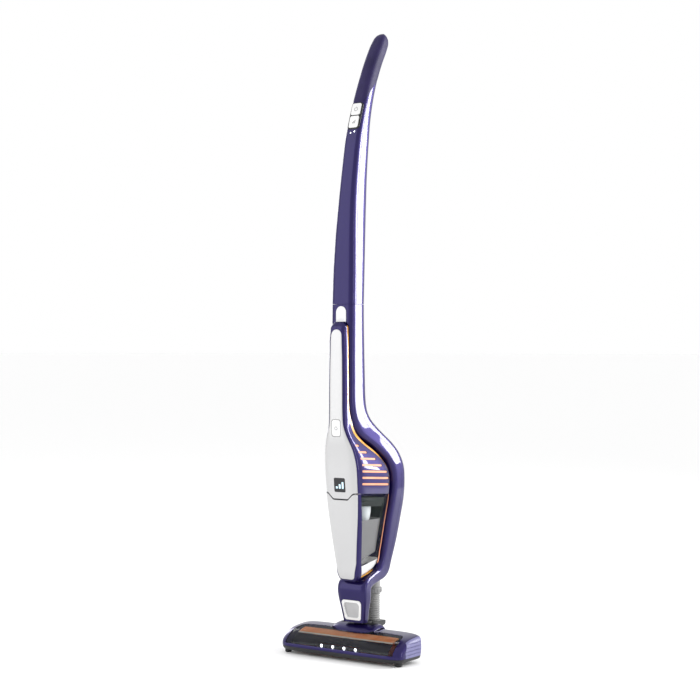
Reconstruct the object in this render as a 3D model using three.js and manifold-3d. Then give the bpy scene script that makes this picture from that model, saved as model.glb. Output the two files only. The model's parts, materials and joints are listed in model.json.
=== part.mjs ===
// Cordless stick vacuum: floor nozzle, swivel yoke, upright stick, lift-off handheld unit, dust cup.
// Millimetres. +Z is up, the front of the machine faces -Y and the floor is z = 0.
import * as THREE from "three";
import { mergeVertices } from "three/addons/utils/BufferGeometryUtils.js";
import Module from "manifold-3d";

const wasm = await Module();
wasm.setup();

// ---------------------------------------------------------------- driving dimensions

const GAP = 0.3; // clearance between neighbouring pieces
const RING_SIDES = 16; // corners of each lofted section
const HOLLOW_SIDES = 12; // and of each hollow inside them
const SHELL_POWER = 5.5; // squareness of the body sections
const CRADLE_POWER = 6;
const ROUND_SIDES = 20;

// Body sections along the machine: front y, front z, rear y, rear z, half width, squareness.
const CRADLE = [
  [-30, 61, -14.5, 61, 23],
  [-34, 85, -14.5, 85, 27],
  [-38.5, 110, -14.5, 107, 31],
  [-39.5, 121, -14.5, 117.5, 31.5],
  [-38.8, 128, -14.2, 120.5, 31.2],
  [-36, 134.5, -13.5, 121.5, 31],
  [-27, 141.5, -8.5, 124.5, 30],
  [-12, 147, 1, 127.5, 28.8],
  [2, 151.8, 18, 131.5, 28],
  [13, 156.5, 37, 137, 27.5],
  [19.5, 164.5, 48.5, 146.5, 27.5],
  [24.6, 178, 54.5, 164, 28.5],
  [29, 210, 66, 201, 32],
  [32.5, 245, 75.5, 245, 36],
  [40, 283, 82, 285, 39.3],
  [43.5, 308, 83, 312, 40],
  [40, 333, 80.5, 341, 39.5],
  [28.5, 350.5, 68.5, 364, 38],
  [9.5, 366.5, 50, 383.5, 35],
  [-11.5, 381, 28, 400, 31.5],
  [-31, 391.5, 10, 414, 28.5],
  [-46, 402, -6, 428.5, 26.3],
  [-55.5, 416, -15, 442, 25],
  [-63.5, 433, -18.7, 455, 24.5],
  [-68, 455, -20.3, 470, 24.3],
  [-68.7, 500, -22, 505, 24.3],
  [-68, 560, -24, 560, 24.2],
  [-67.2, 600, -25, 600, 24.1],
  [-66.8, 634, -25.3, 634, 24],
].map((station) => [...station, CRADLE_POWER]);

const HANDHELD = [
  [-47, 137.5, 11, 157, 21],
  [-50, 143, 19, 166, 24.5],
  [-55, 170, 24.5, 190, 27.5],
  [-60, 205, 27, 215, 31.5],
  [-65, 250, 31, 250, 36.5],
  [-69.5, 290, 38.3, 285, 39.3],
  [-73, 325, 41.5, 312, 40],
  [-75.5, 350, 36, 335, 39.3],
  [-78.5, 372, 22, 352, 36],
  [-81, 388, 0, 370, 31],
  [-82.3, 402, -24, 384.5, 25.5],
  [-82.8, 418, -40, 400, 20.5],
  [-83, 440, -47, 425, 19],
  [-83, 480, -48, 475, 18.7],
  [-82.6, 540, -48, 540, 18],
  [-81.5, 585, -48, 585, 16.5],
  [-79.5, 596, -50, 597, 15],
  [-75, 602, -54, 602, 10],
].map((station) => [...station, SHELL_POWER]);

const HANDLE = [
  [-66.8, 634.6, -25.3, 634.6, 24, 6],
  [-64.9, 687, -22.3, 687, 23.3, 6],
  [-62.7, 732, -18.9, 732, 22, 6],
  [-59.4, 778, -14.6, 778, 20, 6],
  [-54.7, 823, -10.1, 823, 18, 6],
  [-49.6, 860, -7.2, 860, 17, 6],
  [-43.7, 896, -3.7, 896, 16.4, 6],
  [-36.7, 933, 0.7, 933, 16, 6],
  [-25, 973.9, 6, 966.1, 15.3, 5],
  [-12, 1012.8, 16, 1003.2, 14.6, 4],
  [3.1, 1052, 30.1, 1040, 14.2, 3],
  [23.6, 1092.9, 48.4, 1079.1, 14, 3],
  [39.9, 1119.1, 63.1, 1104.9, 13.5, 3],
  [49.5, 1131.3, 69.5, 1118.7, 11.5, 3],
  [57.6, 1136.5, 70.4, 1128.5, 7.5, 3],
  [63.8, 1138, 68.2, 1134, 2.5, 3],
];

const CRADLE_WALL = 3;
const PEDAL_REAR = -31; // how far back the brush pedal reaches at rest
const PEDAL_TRAVEL = 4;
const CRADLE_SPLIT_FROM = 11; // the back cover starts at this cradle section
const CRADLE_SPLIT = 0.6; // where the cradle's seam lies, from front to rear
const HOUSING_WALL = 3;
const HANDLE_WALL = 2.4;
const HANDLE_SPLIT = 0.33; // where the handle's seam lies, from front to rear
const RECESS_GAP = 0.8; // air round the docked handheld unit
const PANEL_MARGIN = 5.3; // purple rim beside the silver panels
const PANEL_THICK = 1.6;

// The dust cup parts from the housing on a plane that falls 4 degrees towards the rear.
const CUP_SLOPE = 0.0694;
const CUP_SLOPE_FROM = -67;
const CUP_TOP = [
  [40, 297.5],
  [27, 296],
  [16, 285.5],
];

const HINGE = { y: -1, z: 38 }; // nozzle tilt axis, along X
const SWIVEL_Y = -1; // neck swivel axis, along Z
const HOSE_Y = 29.5;
const BRUSH = { y: -46, z: 21.5 };
const MOTOR = { y: -12, z: 27 };
const WHEEL = { y: 10, z: 15, radius: 15 };
const BUTTON_TILT = THREE.MathUtils.degToRad(16);
const BUTTON_ORIGIN = [0, -24.4, 976];
const FAN_Y = -36;

// ---------------------------------------------------------------- shape helpers

function solidFrom(geometry) {
  const bare = geometry.clone();
  bare.deleteAttribute("normal");
  bare.deleteAttribute("uv");
  const merged = mergeVertices(bare, 1e-4);
  const vertProperties = merged.attributes.position.array;
  const triVerts = new Uint32Array(merged.index.array);
  return new wasm.Manifold(new wasm.Mesh({ numProp: 3, vertProperties, triVerts }));
}

function geometryFrom(solid) {
  const { vertProperties, triVerts } = solid.getMesh();
  const geometry = new THREE.BufferGeometry();
  geometry.setAttribute("position", new THREE.BufferAttribute(Float32Array.from(vertProperties), 3));
  geometry.setIndex(new THREE.BufferAttribute(Uint32Array.from(triVerts), 1));
  geometry.computeVertexNormals();
  return geometry;
}

const asSolid = (shape) => (shape.isBufferGeometry ? solidFrom(shape) : shape);
const join = (first, ...others) => others.reduce((sum, other) => sum.add(asSolid(other)), asSolid(first));
const cut = (first, ...tools) => tools.reduce((left, tool) => left.subtract(asSolid(tool)), asSolid(first));
const common = (first, ...others) =>
  others.reduce((left, other) => left.intersect(asSolid(other)), asSolid(first));

const mirrored = (outline) => [...outline, ...outline.map(([x, z]) => [-x, z]).reverse()];

function block([x0, x1], [y0, y1], [z0, z1]) {
  const geometry = new THREE.BoxGeometry(x1 - x0, y1 - y0, z1 - z0);
  return geometry.translate((x0 + x1) / 2, (y0 + y1) / 2, (z0 + z1) / 2);
}

function extrusion(outline, depth) {
  const shape = new THREE.Shape(outline.map(([a, b]) => new THREE.Vector2(a, b)));
  return new THREE.ExtrudeGeometry(shape, { depth, bevelEnabled: false, steps: 1 });
}

const X = new THREE.Vector3(1, 0, 0);
const Y = new THREE.Vector3(0, 1, 0);
const Z = new THREE.Vector3(0, 0, 1);

// A (y, z) outline drawn out along X.
function prismX(outline, x0, x1) {
  const basis = new THREE.Matrix4().makeBasis(Y, Z, X);
  return extrusion(outline, x1 - x0).applyMatrix4(basis).translate(x0, 0, 0);
}

// An (x, z) outline drawn out along Y.
function prismY(outline, y0, y1) {
  const basis = new THREE.Matrix4().makeBasis(X, Z, Y.clone().negate());
  return extrusion(outline, y1 - y0).applyMatrix4(basis).translate(0, y1, 0);
}

// An (x, y) outline drawn out along Z.
const prismZ = (outline, z0, z1) => extrusion(outline, z1 - z0).translate(0, 0, z0);

function drumX(radius, x0, x1, y, z, sides = ROUND_SIDES) {
  const geometry = new THREE.CylinderGeometry(radius, radius, x1 - x0, sides);
  return geometry.rotateZ(Math.PI / 2).translate((x0 + x1) / 2, y, z);
}

function drumZ(radius, x, y, z0, z1, sides = ROUND_SIDES) {
  const geometry = new THREE.CylinderGeometry(radius, radius, z1 - z0, sides);
  return geometry.rotateX(Math.PI / 2).translate(x, y, (z0 + z1) / 2);
}

// A (radius, z) profile turned round a Z axis through (0, y).
function turned(profile, y, sides = ROUND_SIDES) {
  const points = profile.map(([radius, height]) => new THREE.Vector2(radius, height));
  return new THREE.LatheGeometry(points, sides).rotateX(Math.PI / 2).translate(0, y, 0);
}

// Rings of equal point count joined into one closed skin, with flat ends.
function skinned(rings) {
  const sides = rings[0].length;
  const positions = rings.flat(2);
  const faces = [];
  for (let r = 0; r + 1 < rings.length; r += 1) {
    for (let k = 0; k < sides; k += 1) {
      const a = r * sides + k;
      const b = r * sides + ((k + 1) % sides);
      faces.push(a, b, b + sides, a, b + sides, a + sides);
    }
  }
  const last = (rings.length - 1) * sides;
  for (let k = 1; k + 1 < sides; k += 1) {
    faces.push(0, k + 1, k);
    faces.push(last, last + k, last + k + 1);
  }
  const skin = (indices) => {
    const geometry = new THREE.BufferGeometry();
    geometry.setAttribute("position", new THREE.Float32BufferAttribute(positions, 3));
    geometry.setIndex(indices);
    return solidFrom(geometry);
  };
  const solid = skin(faces);
  return solid.volume() > 0 ? solid : skin([...faces].reverse());
}

// A rounded-square section whose depth runs from the front point to the rear point.
function sectionRing([frontY, frontZ, rearY, rearZ, half, power], inset, shift = [0, 0]) {
  const length = Math.hypot(rearY - frontY, rearZ - frontZ);
  const along = [(rearY - frontY) / length, (rearZ - frontZ) / length];
  const middle = [(frontY + rearY) / 2 + shift[0], (frontZ + rearZ) / 2 + shift[1]];
  const eased = (value) => Math.sign(value) * Math.abs(value) ** (2 / power);
  const sides = inset > 2 ? HOLLOW_SIDES : RING_SIDES;
  return Array.from({ length: sides }, (_, k) => {
    const angle = (2 * Math.PI * k) / sides;
    const across = (half - inset) * eased(Math.cos(angle));
    const depth = (length / 2 - inset) * eased(Math.sin(angle));
    return [across, middle[0] + depth * along[0], middle[1] + depth * along[1]];
  });
}

// A body through the stations. A positive start or end moves that end inwards along the body.
function loft(stations, { inset = 0, start = 0, end = 0 } = {}) {
  const centre = ([frontY, frontZ, rearY, rearZ]) => [(frontY + rearY) / 2, (frontZ + rearZ) / 2];
  const step = (from, to, distance) => {
    const [y0, z0] = centre(from);
    const [y1, z1] = centre(to);
    const length = Math.hypot(y1 - y0, z1 - z0);
    return [((y1 - y0) * distance) / length, ((z1 - z0) * distance) / length];
  };
  const last = stations.length - 1;
  const rings = stations.map((station, i) => {
    if (i === 0) return sectionRing(station, inset, step(station, stations[1], start));
    if (i === last) return sectionRing(station, inset, step(station, stations[last - 1], end));
    return sectionRing(station, inset);
  });
  return skinned(rings);
}

// The skin of a body between two depths below its surface.
function layer(stations, outer, inner) {
  const body = (inset) => loft(stations, { inset, start: inset, end: inset });
  return cut(body(outer), body(inner));
}

// ---------------------------------------------------------------- assembly helpers

const vacuum = new THREE.Group();

const paint = (color, roughness, metalness = 0) =>
  new THREE.MeshStandardMaterial({ color, roughness, metalness });
const PURPLE = paint("#3a2a86", 0.25, 0.2);
const DARK_PURPLE = paint("#2b2352", 0.55);
const SILVER = paint("#bdb6ac", 0.4, 0.7);
const AMBER = paint("#f0a52a", 0.35);
const PEACH = paint("#ef9a6a", 0.5);
const CLEAR = paint("#c9d3da", 0.1);
const SMOKE = paint("#8c949c", 0.2);
const BLACK = paint("#1a1a1e", 0.5);
const GREY = paint("#77777d", 0.6);
const WHITE = paint("#f2f3f6", 0.4);
const LAVENDER = paint("#a79fd0", 0.45);
const ORANGE = paint("#f06a25", 0.7);
const STEEL = paint("#a5a8ad", 0.3, 0.9);
const COPPER = paint("#b4753a", 0.35, 0.8);
const GREEN = paint("#1f5a3a", 0.6);
const RUBBER = paint("#202024", 0.9);

function piece(name, material, shape) {
  const mesh = new THREE.Mesh(shape.isBufferGeometry ? shape : geometryFrom(shape), material);
  mesh.name = name;
  vacuum.add(mesh);
}

const SIDES = [
  ["left", -1],
  ["right", 1],
];
const sideSpan = (sign, near, far) => (sign > 0 ? [near, far] : [-far, -near]);

// ---------------------------------------------------------------- floor nozzle

const NOZZLE_HALF = 133;
const NOZZLE_SECTION = [
  [-74, 4],
  [-79, 8],
  [-81.5, 15],
  [-79.5, 24],
  [-70, 34],
  [-55, 43],
  [-38, 47.5],
  [-15, 50],
  [0, 50.5],
  [4, 44],
  [4, 20],
  [0, 8],
  [-5, 4],
];
const NOZZLE_STATIONS = [0, 45, 85, 105, 116, 124, 129.5, 132];
const NOZZLE_END_SCALE = 0.5;
const NOZZLE_CENTRE = [-36, 20];
const HUMP_SECTION = [
  [-40, 40],
  [-40, 46.5],
  [-31, 54],
  [-17, 58.5],
  [-3, 59.5],
  [3, 55],
  [4, 44],
  [4, 40],
];
const BASE_TOP = 13.2;
const COVER_FROM = 13.5;
const WINDOW_FROM = 19.5;
const WINDOW_THICK = 2;
const COVER_WALL = 2.2;
const SIDE_PANEL_FROM = 127.3;
const SIDE_PANEL_FRONT = -58;

// Each corner of a clockwise outline moved inwards by the same distance from both its edges.
function insetOutline(outline, distance) {
  const normal = ([y0, z0], [y1, z1]) => {
    const length = Math.hypot(y1 - y0, z1 - z0);
    return [(z1 - z0) / length, -(y1 - y0) / length];
  };
  return outline.map((point, i) => {
    const before = normal(outline.at(i - 1), point);
    const after = normal(point, outline[(i + 1) % outline.length]);
    const bend = 1 + before[0] * after[0] + before[1] * after[1];
    return point.map((value, axis) => value + (distance * (before[axis] + after[axis])) / bend);
  });
}

function nozzleBody(inset = 0) {
  const section = insetOutline(NOZZLE_SECTION, inset);
  const half = NOZZLE_HALF - inset;
  const scaleAt = (station) => (1 - (station / NOZZLE_HALF) ** 8) ** (1 / 8);
  const rightSide = NOZZLE_STATIONS.map((station) => [(station * half) / NOZZLE_HALF, scaleAt(station)]);
  rightSide.push([half, NOZZLE_END_SCALE]);
  const leftSide = rightSide.slice(1).map(([x, scale]) => [-x, scale]);
  const stations = [...leftSide.reverse(), ...rightSide];
  const scaled = (value, axis, scale) => NOZZLE_CENTRE[axis] + (value - NOZZLE_CENTRE[axis]) * scale;
  return skinned(
    stations.map(([x, scale]) => section.map(([y, z]) => [x, scaled(y, 0, scale), scaled(z, 1, scale)])),
  );
}

// The raised saddle over the tilt barrel.
function hump(inset = 0) {
  const section = insetOutline(HUMP_SECTION, inset);
  const stations = [
    [-47, 0.55],
    [-44, 0.85],
    [-39, 1],
    [39, 1],
    [44, 0.85],
    [47, 0.55],
  ];
  const shrink = (z, scale) => 44 + (z - 44) * scale;
  return skinned(stations.map(([x, scale]) => section.map(([y, z]) => [x, y, shrink(z, scale)])));
}

function windowRegion(margin = 0) {
  const outline = mirrored([
    [118 + margin, -90],
    [118 + margin, -60],
    [110 + margin, -30 + margin],
    [56, -27 + margin],
    [28, -40 + margin],
  ]);
  return prismZ(outline, WINDOW_FROM - margin, 70);
}

function sidePanelRegion(sign, margin = 0) {
  const span = sideSpan(sign, SIDE_PANEL_FROM - margin, 150);
  return block(span, [SIDE_PANEL_FRONT - margin, 30], [COVER_FROM - margin, 70]);
}

function makeNozzleBase() {
  let base = common(nozzleBody(), block([-140, 140], [-90, 30], [0, BASE_TOP]));
  base = cut(base, drumX(20.5, -108, 106, BRUSH.y, BRUSH.z));
  base = cut(base, block([-108, 106], [-62, -30], [0, 30]));
  base = cut(base, block([-105.5, 105.5], [-29.3, -26.7], [0, 30]));
  base = cut(base, block([-60, 60], [-22, -12], [6.5, 30]));
  base = cut(base, block([-124, -62], [-22, 1], [6.5, 30]));
  base = cut(base, block([64, 124], [-22, 1], [6.5, 30]));
  base = cut(base, block([108.5, 114.6], [-58, 0], [6.5, 30]));
  base = join(base, block([-60, 60], [-25.2, -23.4], [6, 34]));
  base = cut(base, block([-15, 15], [-27, -20], [10, 30]));
  for (const [, sign] of SIDES) {
    const upright = prismX(
      [
        [-10, 6],
        [8, 6],
        [8, 37.9],
        [-10, 37.9],
      ],
      ...sideSpan(sign, 38, 43),
    );
    const arm = prismX(
      [
        [-12, 6],
        [12, 6],
        [17, 11],
        [17, 19],
        [6, 21],
        [-12, 12],
      ],
      ...sideSpan(sign, 60, 64),
    );
    base = join(base, upright, arm);
    base = cut(base, drumX(6.3, ...sideSpan(sign, 37, 44), HINGE.y, HINGE.z));
    base = cut(base, drumX(WHEEL.radius + 1.8, ...sideSpan(sign, 44.2, 59.6), WHEEL.y, WHEEL.z));
    base = join(base, drumX(3, ...sideSpan(sign, 45.6, 61), WHEEL.y, WHEEL.z, 16));
    base = cut(base, drumZ(6.3, sign * 122, -64, -1, 8.3));
  }
  for (const span of [
    [-113.8, -108.2],
    [114.9, 120.5],
  ]) {
    const post = block(span, [BRUSH.y - 8, BRUSH.y + 8], [6, BRUSH.z]);
    base = cut(join(base, post), drumX(6.3, span[0] - 1, span[1] + 1, BRUSH.y, BRUSH.z, 16));
  }
  for (const x of [67, 100]) {
    const saddle = block([x, x + 4], [MOTOR.y - 9, MOTOR.y + 9], [6, 20]);
    base = cut(join(base, saddle), drumX(10.8, x - 1, x + 5, MOTOR.y, MOTOR.z));
  }
  return base;
}

function makeNozzleCover() {
  let cover = cut(join(nozzleBody(), hump()), nozzleBody(COVER_WALL), hump(COVER_WALL));
  cover = common(cover, block([-140, 140], [-90, 30], [COVER_FROM, 70]));
  cover = cut(cover, windowRegion(GAP));
  cover = cut(cover, drumX(20.8, -36.5, 36.5, HINGE.y, HINGE.z, 32));
  cover = cut(cover, block([-36.5, 36.5], [-18, 10], [HINGE.z, 70]));
  cover = cut(cover, block([-36.5, 36.5], [-2, 10], [10, 70]));
  cover = cut(cover, block([-43.5, 43.5], [-1, 10], [10, 47.4]));
  for (const [, sign] of SIDES) {
    cover = cut(cover, drumX(WHEEL.radius + 2.5, ...sideSpan(sign, 44.2, 64.6), WHEEL.y, WHEEL.z));
    cover = cut(cover, block(sideSpan(sign, 59.5, 64.6), [-14, 20], [10, 22]));
    cover = cut(cover, sidePanelRegion(sign, GAP));
  }
  return cover;
}

function beltOutline(extra) {
  const [big, small] = [8.5 + extra, 4.5 + extra];
  const heading = Math.atan2(MOTOR.z - BRUSH.z, MOTOR.y - BRUSH.y);
  const wrap = Math.acos((big - small) / Math.hypot(MOTOR.z - BRUSH.z, MOTOR.y - BRUSH.y));
  const arc = (centre, radius, from, to) =>
    Array.from({ length: 11 }, (_, k) => {
      const angle = from + ((to - from) * k) / 10;
      return [centre.y + radius * Math.cos(angle), centre.z + radius * Math.sin(angle)];
    });
  return [
    ...arc(BRUSH, big, heading + wrap, heading + 2 * Math.PI - wrap),
    ...arc(MOTOR, small, heading - wrap, heading + wrap),
  ];
}

// A bristle strip that winds round the roll from one end to the other.
function bristleRow(phase) {
  const [from, to, steps, turns] = [-100, 98, 20, 1.25];
  const [root, tip, thick] = [12, 16, 3];
  const rings = Array.from({ length: steps + 1 }, (_, k) => {
    const angle = phase + (2 * Math.PI * turns * k) / steps;
    const [c, s] = [Math.cos(angle), Math.sin(angle)];
    const corner = (radius, side) => [
      from + ((to - from) * k) / steps,
      BRUSH.y + radius * c - side * s,
      BRUSH.z + radius * s + side * c,
    ];
    return [
      corner(root, -thick / 2),
      corner(tip, -thick / 2),
      corner(tip, thick / 2),
      corner(root, thick / 2),
    ];
  });
  return skinned(rings);
}

function makeNozzle() {
  piece("nozzle_base", BLACK, makeNozzleBase());
  piece("nozzle_cover", PURPLE, makeNozzleCover());
  const glass = cut(nozzleBody(), nozzleBody(WINDOW_THICK));
  piece("nozzle_window", CLEAR, common(glass, windowRegion()));
  for (const [side, sign] of SIDES) {
    piece(`side_panel_${side}`, LAVENDER, common(nozzleBody(), sidePanelRegion(sign)));
    const glide = [
      [0, 0],
      [5, 0],
      [6, 1],
      [6, 8],
      [0, 8],
    ];
    piece(`front_glide_${side}`, RUBBER, turned(glide, -64).translate(sign * 122, 0, 0));
    const cap = block(sideSpan(sign, 38, 43), [-10, 8], [38.2, 47]);
    piece(`hinge_cap_${side}`, GREY, cut(cap, drumX(6.3, ...sideSpan(sign, 37, 44), HINGE.y, HINGE.z)));
    const wheel = drumX(WHEEL.radius, ...sideSpan(sign, 46, 58), WHEEL.y, WHEEL.z, 32);
    const bore = drumX(3.3, ...sideSpan(sign, 45, 59), WHEEL.y, WHEEL.z, 16);
    piece(`rear_wheel_${side}`, RUBBER, cut(wheel, bore));
  }
  piece("led_bar", WHITE, block([-46, 46], [-75.6, -73.4], [COVER_FROM, 25]));
  piece("floor_strip", GREY, block([-105, 105], [-29, -27], [1.2, 8]));
  piece("cleaning_bar", STEEL, block([-104, 104], [-57.5, -54.5], [36.6, 38.4]));

  const roll = join(
    drumX(11.7, -106, 104, BRUSH.y, BRUSH.z),
    drumX(3, -113.5, 120, BRUSH.y, BRUSH.z, 16),
    drumX(8.5, 109.3, 113.7, BRUSH.y, BRUSH.z),
  );
  piece("brush_roll", ORANGE, roll);
  piece("bristle_row_a", ORANGE, bristleRow(0));
  piece("bristle_row_b", ORANGE, bristleRow(Math.PI));
  for (const [name, x0, x1] of [
    ["brush_bearing_left", -113.8, -108.8],
    ["brush_bearing_right", 115.2, 120.2],
  ]) {
    const bore = drumX(3.3, x0 - 1, x1 + 1, BRUSH.y, BRUSH.z, 16);
    piece(name, STEEL, cut(drumX(6, x0, x1, BRUSH.y, BRUSH.z, 16), bore));
  }
  const motor = drumX(10.5, 63, 108, MOTOR.y, MOTOR.z);
  piece("brush_motor", STEEL, cut(motor, drumX(1.8, 100, 110, MOTOR.y, MOTOR.z, 12)));
  const pulley = join(
    drumX(4.5, 109.5, 113.5, MOTOR.y, MOTOR.z, 16),
    drumX(1.5, 101, 110, MOTOR.y, MOTOR.z, 12),
  );
  piece("motor_pulley", GREY, pulley);
  piece("drive_belt", RUBBER, cut(prismX(beltOutline(1.7), 109.7, 113.3), prismX(beltOutline(0.3), 109, 114)));
}

// ---------------------------------------------------------------- swivel yoke and hose

const SWIVEL_POST = { radius: 8, top: 112 };

function makeYoke() {
  const duct = prismX(
    [
      [5, 40],
      [20, 44],
      [44, 49],
      [46.5, 52],
      [46.5, 57],
      [5, 57],
    ],
    -18,
    18,
  );
  let yoke = join(
    drumX(20, -35.5, 35.5, HINGE.y, HINGE.z, 32),
    drumX(6, -42.5, 42.5, HINGE.y, HINGE.z, 16),
    drumZ(17, 0, SWIVEL_Y, 50, 60.4),
    drumZ(SWIVEL_POST.radius, 0, SWIVEL_Y, 60, SWIVEL_POST.top),
    duct,
  );
  const passage = prismX(
    [
      [-25, 24],
      [-10, 24],
      [4, 33],
      [22, 47.5],
      [38, 51.5],
      [38, 70],
      [19, 70],
      [19, 52],
      [2, 45],
      [-14, 36],
      [-25, 34],
    ],
    -11,
    11,
  );
  yoke = cut(yoke, passage, drumZ(15.6, 0, HOSE_Y, 51.7, 70));
  piece("swivel_yoke", BLACK, yoke);
  const cuff = cut(drumZ(15.3, 0, HOSE_Y, 52, 58.2), drumZ(11, 0, HOSE_Y, 51, 59));
  piece("hose_lower_cuff", GREY, cuff);
}

function makeHose() {
  const [bottom, top, ribs] = [58.5, 108, 9];
  const pitch = (top - bottom) / ribs;
  const profile = [[11, bottom]];
  for (let k = 0; k < ribs; k += 1) {
    const z = bottom + k * pitch;
    profile.push([13, z], [14.5, z + pitch * 0.3], [14.5, z + pitch * 0.7]);
  }
  profile.push([13, top], [11, top], [11, bottom]);
  piece("hose", GREY, turned(profile, HOSE_Y, 12));

  const cuff = [
    [11, 108.3],
    [17, 108.3],
    [17.8, 111],
    [17.8, 117],
    [14.5, 119],
    [14.5, 145],
    [11, 145],
    [11, 108.3],
  ];
  piece("hose_upper_cuff", GREY, turned(cuff, HOSE_Y));
}

// ---------------------------------------------------------------- stick

// Everything behind the cradle's seam, from the split section up; positive grow widens it.
function cradleRear(grow) {
  const stations = CRADLE.slice(CRADLE_SPLIT_FROM);
  const unit = ([frontY, frontZ, rearY, rearZ]) => {
    const length = Math.hypot(rearY - frontY, rearZ - frontZ);
    return [(rearY - frontY) / length, (rearZ - frontZ) / length];
  };
  const point = (station, from, distance) => {
    const [uy, uz] = unit(station);
    return [from[0] + uy * distance, from[1] + uz * distance];
  };
  const onSeam = ([frontY, frontZ, rearY, rearZ]) => [
    frontY + (rearY - frontY) * CRADLE_SPLIT,
    frontZ + (rearZ - frontZ) * CRADLE_SPLIT,
  ];
  const seam = stations.map((station) => point(station, onSeam(station), -grow));
  const outside = stations.map((station) => point(station, station.slice(2, 4), 12));
  const [uy, uz] = unit(stations[0]);
  const lowered = ([y, z]) => [y + uz * grow, z - uy * grow];
  seam[0] = lowered(seam[0]);
  outside[0] = lowered(outside[0]);
  const raised = ([y, z]) => [y, z + 10];
  return prismX([...seam, raised(seam.at(-1)), raised(outside.at(-1)), ...outside.reverse()], -60, 60);
}

const releaseRegion = (margin) =>
  prismY(
    mirrored([
      [10.7 + margin, 603 - margin],
      [10.7 + margin, 624],
      [7.5 + margin, 628.5 + margin],
      [3, 630 + margin],
    ]),
    -80,
    -60,
  );
const pedalRegion = (margin, rear = PEDAL_REAR) =>
  prismY(
    mirrored([
      [15 + margin, 65.4 - margin],
      [17.5 + margin, 68],
      [21.5 + margin, 97],
      [18 + margin, 101.6 + margin],
    ]),
    -60,
    rear,
  );

function cradleShell() {
  const recess = loft(HANDHELD, { inset: -RECESS_GAP, start: -RECESS_GAP, end: -RECESS_GAP });
  const lining = RECESS_GAP + CRADLE_WALL;
  const recessLining = loft(HANDHELD, { inset: -lining, start: -lining, end: -lining });
  const hollow = cut(loft(CRADLE, { inset: CRADLE_WALL, start: CRADLE_WALL, end: -6 }), recessLining);
  return cut(
    loft(CRADLE),
    recess,
    hollow,
    drumZ(14.8, 0, HOSE_Y, 110, 150),
    drumZ(10.5, 0, 4, 140, 165),
    drumZ(12.3, 0, SWIVEL_Y, 100, 136),
    pedalRegion(GAP, PEDAL_REAR + PEDAL_TRAVEL + GAP),
    releaseRegion(GAP),
    block([-7.3, 7.3], [-50, -40], [544.7, 567.3]),
  );
}

function makeCradle() {
  const shell = cradleShell();
  piece("cradle_frame", PURPLE, cut(shell, cradleRear(GAP)));
  piece("cradle_back_cover", PURPLE, common(shell, cradleRear(0)));
  const core = cut(drumZ(12, 0, SWIVEL_Y, 61.2, 134), drumZ(8.4, 0, SWIVEL_Y, 60, 113));
  piece("neck_core", BLACK, core);
  piece("brush_pedal", WHITE, common(layer(CRADLE, -0.8, 4), pedalRegion(0)));
  piece("release_button", WHITE, common(layer(CRADLE, -0.8, 4.2), releaseRegion(0)));
  piece("dock_contacts", COPPER, block([-7, 7], [-49.6, -44], [545, 567]));
}

// The handle's control face: x stays X, the second axis runs up the face, the third points out of it.
const faceMatrix = new THREE.Matrix4()
  .makeBasis(
    X,
    new THREE.Vector3(0, Math.sin(BUTTON_TILT), Math.cos(BUTTON_TILT)),
    new THREE.Vector3(0, -Math.cos(BUTTON_TILT), Math.sin(BUTTON_TILT)),
  )
  .setPosition(...BUTTON_ORIGIN);

function facePlate(halfWidth, low, high, corner, depthRange = [-8, 8]) {
  const outline = [];
  for (const [cx, cy, from] of [
    [halfWidth - corner, high - corner, 0],
    [-halfWidth + corner, high - corner, 90],
    [-halfWidth + corner, low + corner, 180],
    [halfWidth - corner, low + corner, 270],
  ]) {
    for (let k = 0; k <= 3; k += 1) {
      const angle = THREE.MathUtils.degToRad(from + 30 * k);
      outline.push([cx + corner * Math.cos(angle), cy + corner * Math.sin(angle)]);
    }
  }
  return prismZ(outline, ...depthRange).applyMatrix4(faceMatrix);
}

// Above (or below) the slanted edge between handle and grip.
function aboveGripEdge(drop = 0) {
  const edge = [
    [-60, 954.3 - drop],
    [100, 1127.3 - drop],
  ];
  return prismX([...edge, [100, 1300], [-60, 1300]], -40, 40);
}

function handleFrontRegion(shift) {
  const seam = HANDLE.map(([frontY, frontZ, rearY, rearZ]) => [
    frontY + (rearY - frontY) * HANDLE_SPLIT + shift,
    frontZ + (rearZ - frontZ) * HANDLE_SPLIT,
  ]);
  const first = seam[0];
  return prismX([[first[0], 600], ...seam, [-20, 1300], [-200, 1300], [-200, 600]], -40, 40);
}

function makeHandle() {
  const hollow = loft(HANDLE.slice(0, -1), { inset: HANDLE_WALL, start: -6, end: HANDLE_WALL });
  const shell = cut(loft(HANDLE), hollow);
  const tube = cut(shell, aboveGripEdge(GAP));
  const front = common(tube, handleFrontRegion(-GAP));
  piece("handle_front_shell", PURPLE, cut(front, facePlate(13.3, -26.3, 26.3, 6)));
  piece("handle_rear_shell", PURPLE, cut(tube, handleFrontRegion(0)));
  piece("grip", DARK_PURPLE, common(shell, aboveGripEdge()));

  const buttons = [
    ["power_button", 1.6, 24.2],
    ["boost_button", -23.2, -0.6],
  ];
  let bezel = common(layer(HANDLE, -0.4, HANDLE_WALL), facePlate(13, -26, 26, 5.7), handleFrontRegion(-GAP));
  for (const [name, low, high] of buttons) {
    bezel = cut(bezel, facePlate(9.8, low - GAP, high + GAP, 3.5));
    const key = common(layer(HANDLE, -1.2, 2.2), facePlate(9.5, low, high, 3.2), handleFrontRegion(-GAP));
    piece(name, WHITE, key);
  }
  piece("button_bezel", BLACK, bezel);
  piece("switch_board", GREEN, facePlate(9, -22, 22, 2, [-8, -6.4]));
}

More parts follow.
